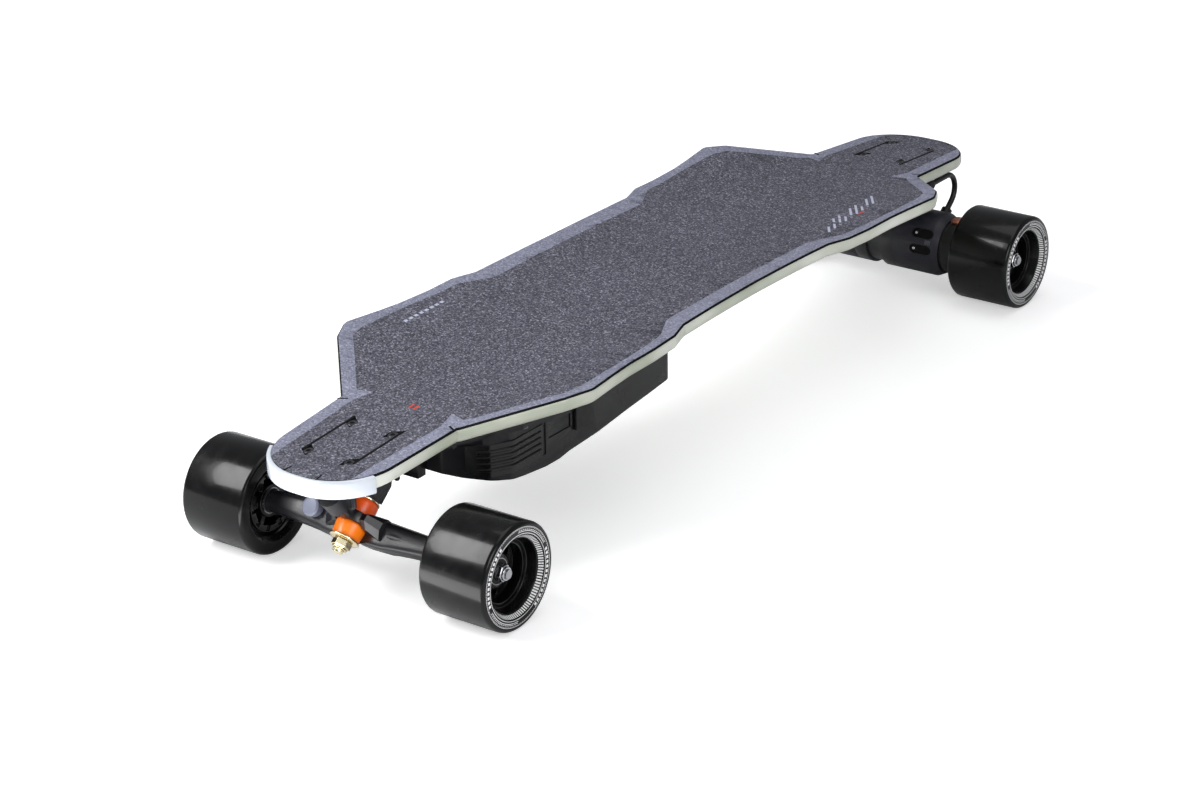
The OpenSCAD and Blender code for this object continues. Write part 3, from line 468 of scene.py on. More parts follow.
class Finish:
    """A procedural material and short calls for the nodes in it."""

    def __init__(self, name, rough=0.5, metal=0.0, coat=0.0, coat_rough=0.05, specular=0.5):
        self.material = bpy.data.materials.new(name)
        self.material.use_nodes = True
        self.tree = self.material.node_tree
        self.shader = self.tree.nodes["Principled BSDF"]
        self.coords = self.tree.nodes.new("ShaderNodeTexCoord").outputs["Object"]
        self.shader.inputs["Roughness"].default_value = rough
        self.shader.inputs["Metallic"].default_value = metal
        self.shader.inputs["Coat Weight"].default_value = coat
        self.shader.inputs["Coat Roughness"].default_value = coat_rough
        self.shader.inputs["Specular IOR Level"].default_value = specular
        self.normal = None

    def add(self, kind, inputs=(), **settings):
        return add_node(self.tree, kind, inputs, **settings)

    def drive(self, socket, value):
        self.tree.links.new(value, self.shader.inputs[socket])

    def noise(self, per_metre, detail=2.0, stretch=(1, 1, 1)):
        mapping = self.add("ShaderNodeMapping", {"Vector": self.coords, "Scale": stretch})
        inputs = {"Vector": mapping.outputs["Vector"], "Scale": per_metre, "Detail": detail}
        return self.add("ShaderNodeTexNoise", inputs).outputs["Fac"]

    def cells(self, per_metre):
        texture = self.add("ShaderNodeTexVoronoi", {"Vector": self.coords, "Scale": per_metre})
        return texture.outputs["Distance"], texture.outputs["Color"]

    def ramp(self, value, stops):
        """A colour ramp over a value; each stop is (place, linear colour)."""
        node = self.add("ShaderNodeValToRGB", {"Fac": value})
        ramp = node.color_ramp
        while len(ramp.elements) < len(stops):
            ramp.elements.new(0.5)
        for element, (place, colour) in zip(ramp.elements, stops):
            element.position = place
            element.color = colour
        return node.outputs["Color"]

    def mapped(self, value, low, high, start=0.0, end=1.0):
        """A value's range from start to end, stretched to low and high."""
        inputs = {"Value": value, "From Min": start, "From Max": end, "To Min": low, "To Max": high}
        return self.add("ShaderNodeMapRange", inputs).outputs["Result"]

    def mixed(self, factor, a, b, blend="MIX"):
        """Mix of two colours, each a linear colour or another node's output."""
        inputs = {0: factor, 6: a, 7: b}
        node = self.add("ShaderNodeMix", inputs, data_type="RGBA", blend_type=blend)
        return node.outputs[2]

    def math(self, operation, a, b=0.0):
        return self.add("ShaderNodeMath", {0: a, 1: b}, operation=operation).outputs["Value"]

    def waves(self, value, length):
        """A wave from 0 to 1 along a value in metres, its length in millimetres."""
        turns = self.math("MULTIPLY", value, 2 * math.pi / (length * MM))
        return self.mapped(self.math("SINE", turns), 0.0, 1.0, -1.0, 1.0)

    def place(self, axis):
        """One coordinate of the surface, in metres."""
        return self.add("ShaderNodeSeparateXYZ", {"Vector": self.coords}).outputs[axis]

    def facing_up(self):
        """The upward part of the surface's own normal."""
        normal = self.add("ShaderNodeNewGeometry").outputs["Normal"]
        return self.add("ShaderNodeSeparateXYZ", {"Vector": normal}).outputs["Z"]

    def bump(self, height, depth, strength):
        """Adds relief of a depth in millimetres."""
        inputs = {"Strength": strength, "Distance": depth * MM, "Height": height}
        if self.normal:
            inputs["Normal"] = self.normal
        self.normal = self.add("ShaderNodeBump", inputs).outputs["Normal"]
        self.drive("Normal", self.normal)

    def colour(self, value):
        self.drive("Base Color", value)

    def roughness(self, value):
        self.drive("Roughness", value)


def moulded(name, colour, rough, vary=0.12, grain=900, depth=0.03, **shader):
    """Moulded, cast or painted finish: soft blotches and a fine grain."""
    finish = Finish(name, rough, **shader)
    base = linear(colour)
    blotch = finish.noise(38, 3)
    stops = [(0.35, scaled(base, 1 - vary)), (0.65, scaled(base, 1 + vary))]
    finish.colour(finish.ramp(blotch, stops))
    finish.roughness(finish.mapped(blotch, rough * 0.85, min(1, rough * 1.15), 0.3, 0.7))
    finish.bump(finish.noise(grain, 2), depth, 0.6)
    return finish.material


def metal(name, colour, rough, streak=(1, 1, 1)):
    """Bare or plated metal with fine turning or brushing marks."""
    finish = Finish(name, rough, metal=1.0)
    base = linear(colour)
    marks = finish.noise(600, 4, streak)
    finish.colour(finish.ramp(marks, [(0.3, scaled(base, 0.82)), (0.6, base)]))
    finish.roughness(finish.mapped(marks, rough * 0.75, rough * 1.35, 0.3, 0.7))
    finish.bump(marks, 0.01, 0.5)
    return finish.material


def grit(name, dark, middle, light, share, clumping):
    """Grip sheet: a bed of mineral grains, a share of them bright; its cut sides near-black, the
    grip's dark edge with painted shade of the gap beside it.
    """
    finish = Finish(name, 0.78, specular=0.4)
    distance, tint = finish.cells(850)
    plain = linear(middle)
    stops = [(0.0, linear(dark)), (0.45, plain), (1 - share, plain), (1.0, linear(light))]
    grains = finish.ramp(tint, stops)
    cloud = finish.noise(460, 3)
    clumps = finish.ramp(cloud, [(0.36, grey(1 - clumping)), (0.64, grey(1 + clumping))])
    bed = finish.mixed(1.0, grains, clumps, "MULTIPLY")
    worn = finish.ramp(finish.noise(9, 2), [(0.3, grey(0.93)), (0.7, grey(1.06))])
    bed = finish.mixed(1.0, bed, worn, "MULTIPLY")
    # Painted shade: faces that do not face up, the sheet's cut sides, turn near-black; partly the
    # grip's own dark edge, partly the shadow in the gap by the deck edge.
    edge = finish.mapped(finish.facing_up(), 1.0, 0.0, 0.4, 0.6)
    finish.colour(finish.mixed(edge, bed, linear((10, 10, 12))))
    finish.roughness(finish.mapped(cloud, 0.6, 0.9, 0.3, 0.7))
    finish.bump(distance, 0.35, 0.7)
    finish.bump(cloud, 0.3, 0.6)
    return finish.material


def laminate(name):
    """Lacquered deck edge: pale with faint plies and a soft mottling along it."""
    finish = Finish(name, 0.34, coat=0.35, coat_rough=0.12)
    height = finish.place("Z")
    x = finish.math("ABSOLUTE", finish.place("X"))
    inner = finish.math("MINIMUM", x, bend_x * MM)
    square = finish.math("MULTIPLY", inner, inner)
    sag = finish.math("MULTIPLY", square, slope / (2 * bend_x * MM))
    beyond = finish.math("MULTIPLY", finish.math("SUBTRACT", x, inner), slope)
    sag = finish.math("ADD", sag, beyond)
    depth = finish.math("ADD", finish.math("ADD", height, sag), -crown_z * MM)
    along = finish.noise(7, 3, (1, 0.4, 2))
    base = finish.ramp(along, [(0.38, linear((176, 182, 164))), (0.62, linear((236, 238, 230)))])
    plies = finish.waves(depth, 1.7)
    lines = finish.ramp(plies, [(0.0, (0.93, 0.94, 0.92, 1)), (0.35, (1, 1, 1, 1))])
    finish.colour(finish.mixed(1.0, base, lines, "MULTIPLY"))
    finish.bump(finish.noise(260, 3, (0.15, 0.15, 4)), 0.05, 0.4)
    return finish.material


def urethane(name, colour, rough):
    """Cast urethane: deep gloss with very slight ripple and dust."""
    finish = Finish(name, rough, coat=0.15, coat_rough=0.06, specular=0.22)
    base = linear(colour)
    dust = finish.noise(85, 4)
    dusty = (*[c * 1.5 + 0.001 for c in base[:3]], 1)
    finish.colour(finish.ramp(dust, [(0.45, base), (0.8, dusty)]))
    finish.roughness(finish.mapped(dust, rough * 0.85, rough * 1.3, 0.35, 0.7))
    finish.bump(finish.noise(40, 1), 0.015, 0.2)
    return finish.material


def printed(name, colour):
    """Pad-printed ink with a little wear."""
    finish = Finish(name, 0.55)
    wear = finish.noise(900, 3)
    base = linear(colour)
    finish.colour(finish.ramp(wear, [(0.28, scaled(base, 0.6)), (0.42, base)]))
    finish.bump(wear, 0.02, 0.3)
    return finish.material


def windings(name):
    """Enamelled copper wire wound on the stator teeth."""
    finish = Finish(name, 0.32, metal=0.9)
    wire = finish.waves(finish.place("Y"), 0.9)
    finish.colour(finish.ramp(wire, [(0.0, linear((96, 48, 24))), (0.6, linear((196, 112, 62)))]))
    finish.bump(wire, 0.3, 0.8)
    return finish.material


deck_finish = laminate("deck_laminate")
grip_dark = grit("grip_dark", (36, 36, 44), (74, 74, 86), (142, 142, 154), 0.42, 0.45)
grip_light = grit("grip_light", (98, 99, 116), (124, 126, 144), (162, 164, 182), 0.32, 0.24)
decal_light = printed("decal_light", (176, 178, 200))
decal_red = printed("decal_red", (196, 62, 48))
bumper_white = moulded("bumper_white", (198, 204, 213), 0.22, 0.02, 300, 0.02, coat=0.5)
cast_black = moulded("cast_black", (30, 30, 35), 0.42, 0.15, 1100, 0.05)
hanger_black = moulded(
    "hanger_black", (24, 24, 28), 0.34, 0.15, 900, 0.04, coat=0.15, coat_rough=0.2
)
rubber_black = moulded("rubber_black", (20, 20, 21), 0.7, 0.15, 700, 0.05)
# Near-black: the dark deck top in the grip's openings and nicks, and painted shade in the gap at
# the grip's edge and in the motor's vent slots.
dark_fill_and_painted_shade = moulded("dark_fill_and_painted_shade", (4, 4, 5), 0.8, 0.1, 500, 0.03, specular=0.2)
gold_zinc = metal("gold_zinc", (240, 226, 188), 0.2)
bushing_upper = moulded("bushing_upper", (255, 92, 20), 0.36, 0.05, 200, 0.02, coat=0.2)
bushing_lower = moulded("bushing_lower", (255, 124, 4), 0.36, 0.05, 200, 0.02, coat=0.2)
bolt_black = moulded("bolt_black", (84, 84, 90), 0.28, 0.2, 1200, 0.03, metal=0.8)
steel = metal("steel", (190, 191, 195), 0.3)
chrome = metal("chrome", (214, 215, 219), 0.14)
enclosure_black = moulded(
    "enclosure_black", (12, 12, 15), 0.3, 0.12, 1300, 0.03, coat=0.1, specular=0.25
)
panel_black = moulded("panel_black", (9, 9, 11), 0.26, 0.1, 900, 0.02, coat=0.1, specular=0.3)
cell_green = moulded("cell_green", (64, 132, 78), 0.35, 0.05, 300, 0.01)
tray_blue = moulded("tray_blue", (44, 72, 98), 0.5)
controller_metal = metal("controller_metal", (140, 142, 148), 0.4, (1, 6, 6))
lead_red = moulded("lead_red", (170, 24, 24), 0.45)
board_green = moulded("board_green", (28, 88, 56), 0.4)
cable_black = moulded("cable_black", (16, 16, 17), 0.45, 0.15, 500, 0.03)
motor_black = moulded("motor_black", (34, 34, 43), 0.42, 0.12, 1500, 0.04, specular=0.4)
# Near-black for the housing's seam, and painted shade on the rotor and the ring between housing and
# wheel, darker than the housing.
motor_dark_and_gap_shade = moulded("motor_dark_and_gap_shade", (12, 12, 13), 0.6)
screw_bright = metal("screw_bright", (230, 230, 232), 0.15)
sensor_grey = moulded("sensor_grey", (112, 116, 134), 0.35)
window_grey = moulded("window_grey", (60, 60, 68), 0.3)
copper_wire = windings("copper_wire")
copper_lug = metal("copper_lug", (232, 150, 122), 0.36)
tyre_black = urethane("tyre_black", (8, 8, 9), 0.22)
core_black = moulded("core_black", (7, 7, 8), 0.22, 0.1, 600, 0.02, coat=0.15, specular=0.3)
ink_white = printed("ink_white", (248, 248, 248))
bearing_steel = metal("bearing_steel", (165, 166, 170), 0.28)


# Deck, bumper and marks


def bent_to_deck(bm):
    for v in bm.verts:
        v.co.z += surface_z(v.co.x, v.co.y)


def lift_to_deck(bm, station=12.0):
    """Cuts flat faces at regular stations and along the rails, then bends them to the deck."""
    count = int(half_l / station)
    planes = [((i * station, 0, 0), (1, 0, 0)) for i in range(-count, count + 1)]
    planes += [((0, side * flat_half_w, 0), (0, 1, 0)) for side in (LEFT, RIGHT)]
    for place, normal in planes:
        sliced(bm, place, normal, dist=1e-4)
    bent_to_deck(bm)


def outline_rings(bm, section):
    """Rings round the deck, one for each (distance outside the grip, height over the top)."""
    return [
        ring(bm, Matrix.Identity(4), [(x, y, z) for x, y in rounded(grown(grip_corners, d))])
        for d, z in section
    ]


def outline_band(bm, section):
    """A closed section run round the deck's outline."""
    rings = outline_rings(bm, section)
    bridge(bm, rings + [rings[0]])


def bolt_places():
    """Frames of the eight truck bolts, on the platforms under the deck."""
    for end in (FRONT, REAR):
        for x in (-bolt_dx / 2, bolt_dx / 2):
            for y in (-bolt_dy / 2, bolt_dy / 2):
                yield at_platform(end) @ moved(x, y, 0)


def deck_holes(bm):
    """Countersunk truck bolt holes."""
    hole_r, sink_r = bolt_r + 0.25, 4.8
    hole = [(0.001, -6), (hole_r, -6), (hole_r, deck_t - 2.5), (sink_r, deck_t - 2.4)]
    hole += [(sink_r, 20), (0.001, 20)]
    for place in bolt_places():
        lathe(bm, place, hole, 24)


def make_deck():
    bm = bmesh.new()
    e = edge_w
    section = [
        (e - 5.0, -deck_t), (e - 3.0, -deck_t + 0.35), (e - 1.4, -deck_t + 1.3),
        (e - 0.45, -deck_t + 2.8), (e - 0.05, -deck_t + 4.6), (e, -6), (e - 0.1, -3.2),
        (e - 0.45, -1.6), (e - 1.0, -0.6), (e - 1.8, -0.05),
    ]
    skin(bm, outline_rings(bm, section))
    lift_to_deck(bm)
    deck = piece("deck", bm, "board", deck_finish, ["deck_core"], angle=40)
    cut(deck, deck_holes)


def make_bumper():
    bm = bmesh.new()
    edge = edge_w + bumper_out
    section = [
        (0.35, 0.05), (0.5, 0.75), (1.0, 0.95), (edge - 1.6, 0.85), (edge - 0.6, 0.35),
        (edge - 0.1, -0.6), (edge, -1.8), (edge, -deck_t - 0.4),
        (edge - 0.5, -deck_t - 1.5), (edge - 1.6, -deck_t - 2), (-5, -deck_t - 2),
        (-6, -deck_t - 1.4), (-6, -deck_t - 0.02), (edge_w + 0.02, -deck_t - 0.02),
        (edge_w + 0.02, -1.4), (edge_w - 0.6, 0.04),
    ]
    outline_band(bm, section)
    sliced(bm, (half_l - bumper_run, 0, 0), (1, 0, 0), clear_inner=True)
    bmesh.ops.holes_fill(bm, edges=[e for e in bm.edges if len(e.link_faces) == 1], sides=0)
    bent_to_deck(bm)
    piece("bumper", bm, "board", bumper_white, ["nose_bumper"], angle=50)


# Stations of the CAD's deck layers, and the width they are drawn to
layer_strips = 19
layer_half_w = wing_half_w + 20
layer_reach = 600
layer_x = [bend_x * (2 * i / layer_strips - 1) for i in range(layer_strips + 1)]
layer_x = [-layer_reach, *layer_x, layer_reach]


def cad_surface_z(x, y):
    """Height of the CAD's deck top, which is made of flat triangles between stations."""
    i = 0
    while layer_x[i + 1] < x:
        i += 1
    a, b = layer_x[i], layer_x[i + 1]
    u = (x - a) / (b - a)
    t = max(0, abs(y) - flat_half_w) / (layer_half_w - flat_half_w)
    a_in, b_in = top_z(a), top_z(b)
    a_out, b_out = surface_z(a, layer_half_w), surface_z(b, layer_half_w)
    if y > 0 and u + t <= 1:
        return a_in + t * (a_out - a_in) + u * (b_in - a_in)
    if y > 0:
        return a_out * (1 - u) + b_in * (1 - t) + b_out * (u + t - 1)
    if u >= t:
        return a_in * (1 - u) + b_in * (u - t) + b_out * t
    return a_in * (1 - t) + a_out * (t - u) + b_out * u


def make_grip(node, material):
    """A grip sheet in the CAD's plan, laid smoothly over the deck."""
    bm = bmesh.new()
    bm.from_mesh(NODES[node].data)
    bmesh.ops.scale(bm, vec=(1 / MM,) * 3, verts=bm.verts)
    bmesh.ops.remove_doubles(bm, verts=bm.verts, dist=2e-3)
    for v in bm.verts:
        over = v.co.z - cad_surface_z(v.co.x, v.co.y)
        v.co.z = grip_t if over > grip_t / 2 else 0
    flattened(bm)
    bmesh.ops.triangulate(bm, faces=bm.faces[:])
    lift_to_deck(bm)
    piece(node + "_sheet", bm, "board", material, [node], angle=40)


def make_grip_shade_line():
    """Near-black band where the grip's cut edge meets the bare deck: painted shade of the gap
    there, over the grip's dark edge.
    """
    bm = bmesh.new()
    section = [
        (-0.8, 0.02), (0.3, -0.1), (1.15, -0.8), (1.25, -0.45), (0.6, 0.3), (0.06, 0.6),
        (0.06, grip_t - 0.02), (-0.8, grip_t - 0.05),
    ]
    outline_band(bm, section)
    sliced(bm, (half_l - bumper_run - 1, 0, 0), (1, 0, 0), clear_outer=True)
    lift_to_deck(bm)
    piece("grip_shade_line", bm, "board", dark_fill_and_painted_shade)


def flat_marks(bm, shapes, height, step=4.0):
    """Thin printed four-cornered shapes that follow the deck at a height over its top."""
    for a, b, c, d in shapes:
        n = max(1, math.ceil(math.dist(a, b) / step))
        rows = []
        for k in range(n + 1):
            u = k / n
            ends = [Vector(p).lerp(Vector(q), u) for p, q in ((a, b), (d, c))]
            rows.append([bm.verts.new((x, y, surface_z(x, y) + height)) for x, y in ends])
        for here, after in zip(rows, rows[1:]):
            bm.faces.new((here[0], after[0], after[1], here[1]))


def bar(x, y, length, width, angle):
    """Corners of a flat bar that starts at (x, y)."""
    c, s = math.cos(math.radians(angle)), math.sin(math.radians(angle))
    corners = ((0, 0), (length, 0), (length, width), (0, width))
    return [(x + l * c - w * s, y + l * s + w * c) for l, w in corners]


def make_bolt_windows():
    """Black openings in the grip round the bolt heads."""
    bm = bmesh.new()
    window = [(-9.5, 6), (2.5, 6), (9.5, -4), (-1.5, -4)]
    for end in (FRONT, REAR):
        for side in (LEFT, RIGHT):
            shapes = [
                [(end * (x0 + x), side * (bolt_dy / 2 + y)) for x, y in window]
                for x0 in (bolt_x - bolt_dx / 2, bolt_x + bolt_dx / 2)
            ]
            y = bolt_dy / 2 + 4.2
            x0, x1 = bolt_x - bolt_dx / 2 - 7.5, bolt_x + bolt_dx / 2 + 1.5
            slit = [(x0, y), (x1, y), (x1, y + 1.5), (x0, y + 1.5)]
            shapes.append([(end * a, side * b) for a, b in slit])
            flat_marks(bm, shapes, 0.12)
            wide = [(x0, y - 0.6), (x1, y - 0.6), (x1, y + 2), (x0, y + 2)]
            flat_marks(bm, [[(end * a, side * b) for a, b in wide]], grip_t + 0.06)
    piece("bolt_windows", bm, "board", dark_fill_and_painted_shade)


def make_deck_marks():
    """Generic dashes in the places of printed marks."""
    height = grip_t + 0.08
    bm = bmesh.new()
    shapes = [bar(-146 - 12 * i, 92 - 1.5 * i, 34 if i % 3 else 18, 2.2, 214) for i in range(9)]
    shapes += [bar(178 + 7 * i, -96, 4.2, 3, 0) for i in range(8)]
    flat_marks(bm, shapes, height)
    piece("deck_dashes", bm, "board", decal_light)
    bm = bmesh.new()
    nicks = [bar(half_l - 13, side * 15, 9, 1.4, side * 8) for side in (RIGHT, LEFT)]
    for end, angle in ((FRONT, 62), (REAR, 118)):
        for side in (LEFT, RIGHT):
            nicks.append(bar(end * (neck_x + 1), side * (neck_half_w - 7), 9, 1.8, side * angle))
    flat_marks(bm, nicks, height)
    piece("deck_nicks", bm, "board", dark_fill_and_painted_shade)
    bm = bmesh.new()
    flat_marks(bm, [bar(341, 2, 7, 2.2, 0), bar(341, 7, 7, 2.2, 0)], height)
    flat_marks(bm, [bar(-216, 84, 12, 2.2, 0)], height)
    piece("deck_red_marks", bm, "board", decal_red)


# Fasteners


def make_truck_bolts():
    bolts, nuts = bmesh.new(), bmesh.new()
    head = [(2.0, 8), (2.4, 9.2), (4.55, 9.8), (4.55, 11.9), (4.1, 12.5), (2.0, 12.6)]
    head += [(1.9, 11.2), (0.01, 11.2), (0.01, 8)]
    hexagon = polygon_corners(4.6, 6, 0.3)
    collar = [(2.4, -13, 0.1), (4, -13, 0.2), (4, -12, 0.1), (2.4, -12, 0.1)]
    for place in bolt_places():
        lathe(bolts, place, head, 36)
        threaded(bolts, place, bolt_r, -28, 10, 0.9)
        extruded(nuts, place, hexagon, -17, -13.2, 0.4)
        turned_solid(nuts, place, collar, 32)
    piece("bolts", bolts, "board", bolt_black, ["truck_bolts"])
    piece("lock_nuts", nuts, "board", bolt_black, ["truck_lock_nuts"])


def make_kingpins():
    pins, nuts, washers = bmesh.new(), bmesh.new(), bmesh.new()
    shank, bore = kingpin_r - 0.05, bushing_bore_r
    rod = [(0.01, -19), (shank, -19), (shank, 36), (4.2, 37), (0.01, 37)]
    hexagon = polygon_corners(8.3, 6, 0.5)
    collar = [(bore, -27.2, 0.3), (6.6, -27.2, 0.6), (6.6, -25, 0.2), (bore, -25, 0.1)]
    cup = [(bore, 17.3, 0.2), (12.9, 17.3, 0.5), (12.9, 18.8, 0.5)]
    cup += [(10.5, 19.2, 0.6), (bore, 19.2, 0.2)]
    for end in (FRONT, REAR):
        place = at_kingpin(end)
        threaded(pins, place, kingpin_r, -30.2, -18, 1.25)
        lathe(pins, place, rod, 40)
        extruded(nuts, place, hexagon, -25.6, -19.3, 0.7)
        turned_solid(nuts, place, collar, 40)
        turned_solid(washers, place, cup, 64)
        turned_solid(washers, place, [(r, -z, c) for r, z, c in cup[::-1]], 64)
    piece("kingpin_rods", pins, "board", gold_zinc, ["kingpins"])
    piece("kingpin_hex_nuts", nuts, "board", gold_zinc, ["kingpin_nuts"])
    piece("bushing_washers", washers, "board", gold_zinc, ["cup_washers"])


def make_bushings():
    """Each bushing turned round its kingpin, from its washer to the hanger's ring."""
    near, far, bore = bushing_near, bushing_far, bushing_bore_r
    barrel = [(bore, near, 0.2), (12.4, near, 1.2), (12.95, 7, 3), (13.0, 10.7, 3)]
    barrel += [(12.95, 14.5, 3), (12.3, far, 1.2), (bore, far, 0.2)]
    cone = [(bore, -far, 0.2), (11.2, -far, 0.9), (12.0, -13, 4), (12.5, -9.5, 4)]
    cone += [(12.9, -6, 2), (12.4, -near, 0.9), (bore, -near, 0.2)]
    halves = (("upper", 1, barrel, bushing_upper), ("lower", -1, cone, bushing_lower))
    for name, end in ENDS.items():
        place = at_kingpin(end)
        for half, sign, corners, material in halves:
            bm = bmesh.new()
            turned_solid(bm, place, corners, 72)
            start, stop = (place @ Vector((0, 0, sign * z)) for z in (far, near))
            title = name + "_" + half + "_bushing"
            flexing(title, bm, material, name + "_bushings", name + "_truck", start, stop)


# Trucks


def superellipse(half_x, half_z, power, steps=40):
    points = []
    for i in range(steps):
        c, s = math.cos(2 * math.pi * i / steps), math.sin(2 * math.pi * i / steps)
        x = half_x * math.copysign(abs(c) ** (2 / power), c)
        points.append((x, half_z * math.copysign(abs(s) ** (2 / power), s)))
    return points


def make_front_arms():
    """Cast arms of the front hanger: faceted at the root, round at the wheel."""
    stations = [
        (7, 12.5, 11.2, 7, 1.0),
        (9, 13.2, 12.0, 7, 1.0),
        (30, 12.6, 11.6, 6, 1.0),
        (36, 11.6, 11.2, 5, 0.6),
        (52, 10.9, 10.4, 4, 0.2),
        (72, 10.1, 9.7, 3, 0),
        (84, 9.6, 9.4, 2.4, 0),
        (93.5, 9.3, 9.3, 2, 0),
        (95, 8.4, 8.4, 2, 0),
    ]
    place = at_axle(FRONT) @ turned("Y", -steer_rake + 14)
    bm = bmesh.new()
    for side in (LEFT, RIGHT):
        sections = [
            [(x - 1.2 * lean, side * y, z - lean) for x, z in superellipse(a, b, power)]
            for y, a, b, power, lean in stations
        ]
        loft(bm, place, sections)
        web = [(-13, 0, 0.6), (-13, -4.5, 0.6), (-9, -6.5, 0.6), (-4, -6.5, 0.6), (-4, 0, 0.6)]
        spans = ((16, 0.3), (18, 1.0), (60, 0.8), (74, 0.05))
        rib = [
            [(x * share - 9 * (1 - share), side * y, z * share) for x, z in rounded(web)]
            for y, share in spans
        ]
        loft(bm, place, rib)
        inner = [(-6, -7.5), (20, -6.5), (27, -2), (27, 3.5), (20, 7), (-6, 9)]
        root = [(-11, -9.5), (12, -9), (17, -3), (17, 4), (12, 9.5), (-11, 10.5)]
        steer = at_axle(FRONT) @ turned("Y", -steer_rake)
        cheek = ((13, inner), (17, inner), (27, root))
        loft(bm, steer, [[(x, side * y, z) for x, z in p] for y, p in cheek])
    piece("front_hanger_arms", bm, "front_truck", hanger_black, angle=24)


def make_hanger_pad():
    """Round pale pad on the front hanger's far shoulder."""
    bm = bmesh.new()
    place = moved(axle_x + 4, -44, axle_z + 9) @ turned("Y", 62)
    pad = [(0.01, 2, 0), (0.01, 10.5, 0), (6.4, 10.5, 0.5), (8.2, 9.3, 0.5), (8.2, 2, 0)]
    turned_solid(bm, place, pad, 48)
    piece("hanger_pad", bm, "front_truck", sensor_grey)


# Wheels

face_z = wheel_w - 0.12


def dish_height(r):
    """Height of the dish wall at a radius."""
    return face_z - 0.5 - (34.2 - r) * 1.35


def make_tyre(name, end, side):
    bm = bmesh.new()
    z1 = face_z
    corners = [
        (27.5, 8, 0.3), (29.5, 4, 0.8), (34, 0.1, 1.2), (45, 0.1, 3.4), (45, z1, 3.6),
        (41.6, z1, 0.3), (41.3, z1 - 0.35, 0.3), (34.9, z1 - 0.35, 0.5),
        (34.2, z1 - 0.5, 0.4), (31, z1 - 4.8, 0.6), (30.4, z1 - 5.0, 0.4),
        (28.4, z1 - 13.8, 1.0), (27.5, z1 - 13.8, 0.1),
    ]
    turned_solid(bm, at_wheel(end, side), corners, 144)
    node = name + "_tyre"
    piece(name + "_tyre_body", bm, BODY_OF[node], tyre_black, [node], angle=40)


def ring_marks(bm, place, marks, inner, outer, height):
    """Marks on a turned face, each (start, end) in degrees; height is a function of radius."""
    for start, end in marks:
        n = max(1, math.ceil((end - start) / 3))
        rows = []
        for k in range(n + 1):
            a = math.radians(start + (end - start) * k / n)
            points = [(r * math.cos(a), r * math.sin(a), height(r)) for r in (inner, outer)]
            rows.append(ring(bm, place, points))
        bridge(bm, rows, loop=False)


def dashes(count, share, start=0.0, span=360.0):
    pitch = span / count
    return [(start + i * pitch, start + (i + share) * pitch) for i in range(count)]


def make_wheel_print(name, end, side):
    """Generic dashes, bars and rings printed on a wheel's outer face."""
    bm = bmesh.new()
    place = at_wheel(end, side)
    flat = face_z - 0.35 + 0.05

    def on_face(_):
        return flat

    def on_dish(r):
        return dish_height(r) + 0.1

    ring_marks(bm, place, dashes(1, 1.0), 40.5, 40.85, on_face)
    ring_marks(bm, place, dashes(110, 0.55), 39.7, 40.05, on_face)
    ring_marks(bm, place, dashes(1, 1.0), 35.1, 35.6, on_face)
    for start in (-58, 122):
        ring_marks(bm, place, dashes(13, 0.62, start, 78), 36.5, 39.0, on_face)
        ring_marks(bm, place, dashes(1, 1.0, start + 84, 62), 37.0, 37.5, on_face)
        ring_marks(bm, place, dashes(16, 0.6, start + 84, 62), 38.1, 38.8, on_face)
    ring_marks(bm, place, dashes(90, 0.55), 31.3, 33.8, on_dish)
    piece(name + "_print", bm, BODY_OF[name + "_tyre"], ink_white)


def make_bearing_shields(name, end, side):
    """Dark dished shields over the wheel's two bearings."""
    bm = bmesh.new()
    place = at_wheel(end, side)
    for z, out in ((5.9, -1), (45.1, 1)):
        dish, back = z + out * 0.25, z - out
        corners = [(6.2, z, 0), (6.8, dish, 0.1), (9.6, dish, 0.1), (10.2, z, 0)]
        corners += [(10.2, back, 0), (6.2, back, 0)]
        turned_solid(bm, place, corners if out > 0 else corners[::-1], 48)
    body = BODY_OF[name + "_bearings"]
    piece(name + "_bearing_shields", bm, body, rubber_black)


def make_axle_ends():
    """Axles with threaded ends, and chamfered nuts with their collars."""
    rod = [(0.01, 0), (axle_r, 0), (axle_r, 131), (0.01, 131)]
    collar = [(4.1, 141, 0.1), (6.0, 141, 0.1), (5.7, 143.3, 0.7), (4.1, 143.3, 0.3)]
    for name, end in ENDS.items():
        rods, nuts = bmesh.new(), bmesh.new()
        for side in (LEFT, RIGHT):
            place = moved(end * axle_x, 0, axle_z) @ turned("X", -90 * side)
            lathe(rods, place, rod, 40)
            threaded(rods, place, axle_r, 130, axle_end, 1.0, 40)
            extruded(nuts, place, polygon_corners(7.5, 6, 0.4), 136.4, 141.6, 0.5)
            turned_solid(nuts, place, collar, 40)
        body = name + "_truck"
        piece(name + "_axle_rod", rods, body, steel, [name + "_axle"])
        piece(name + "_wheel_nuts", nuts, body, chrome, [name + "_axle_nuts"])


# Rear motors


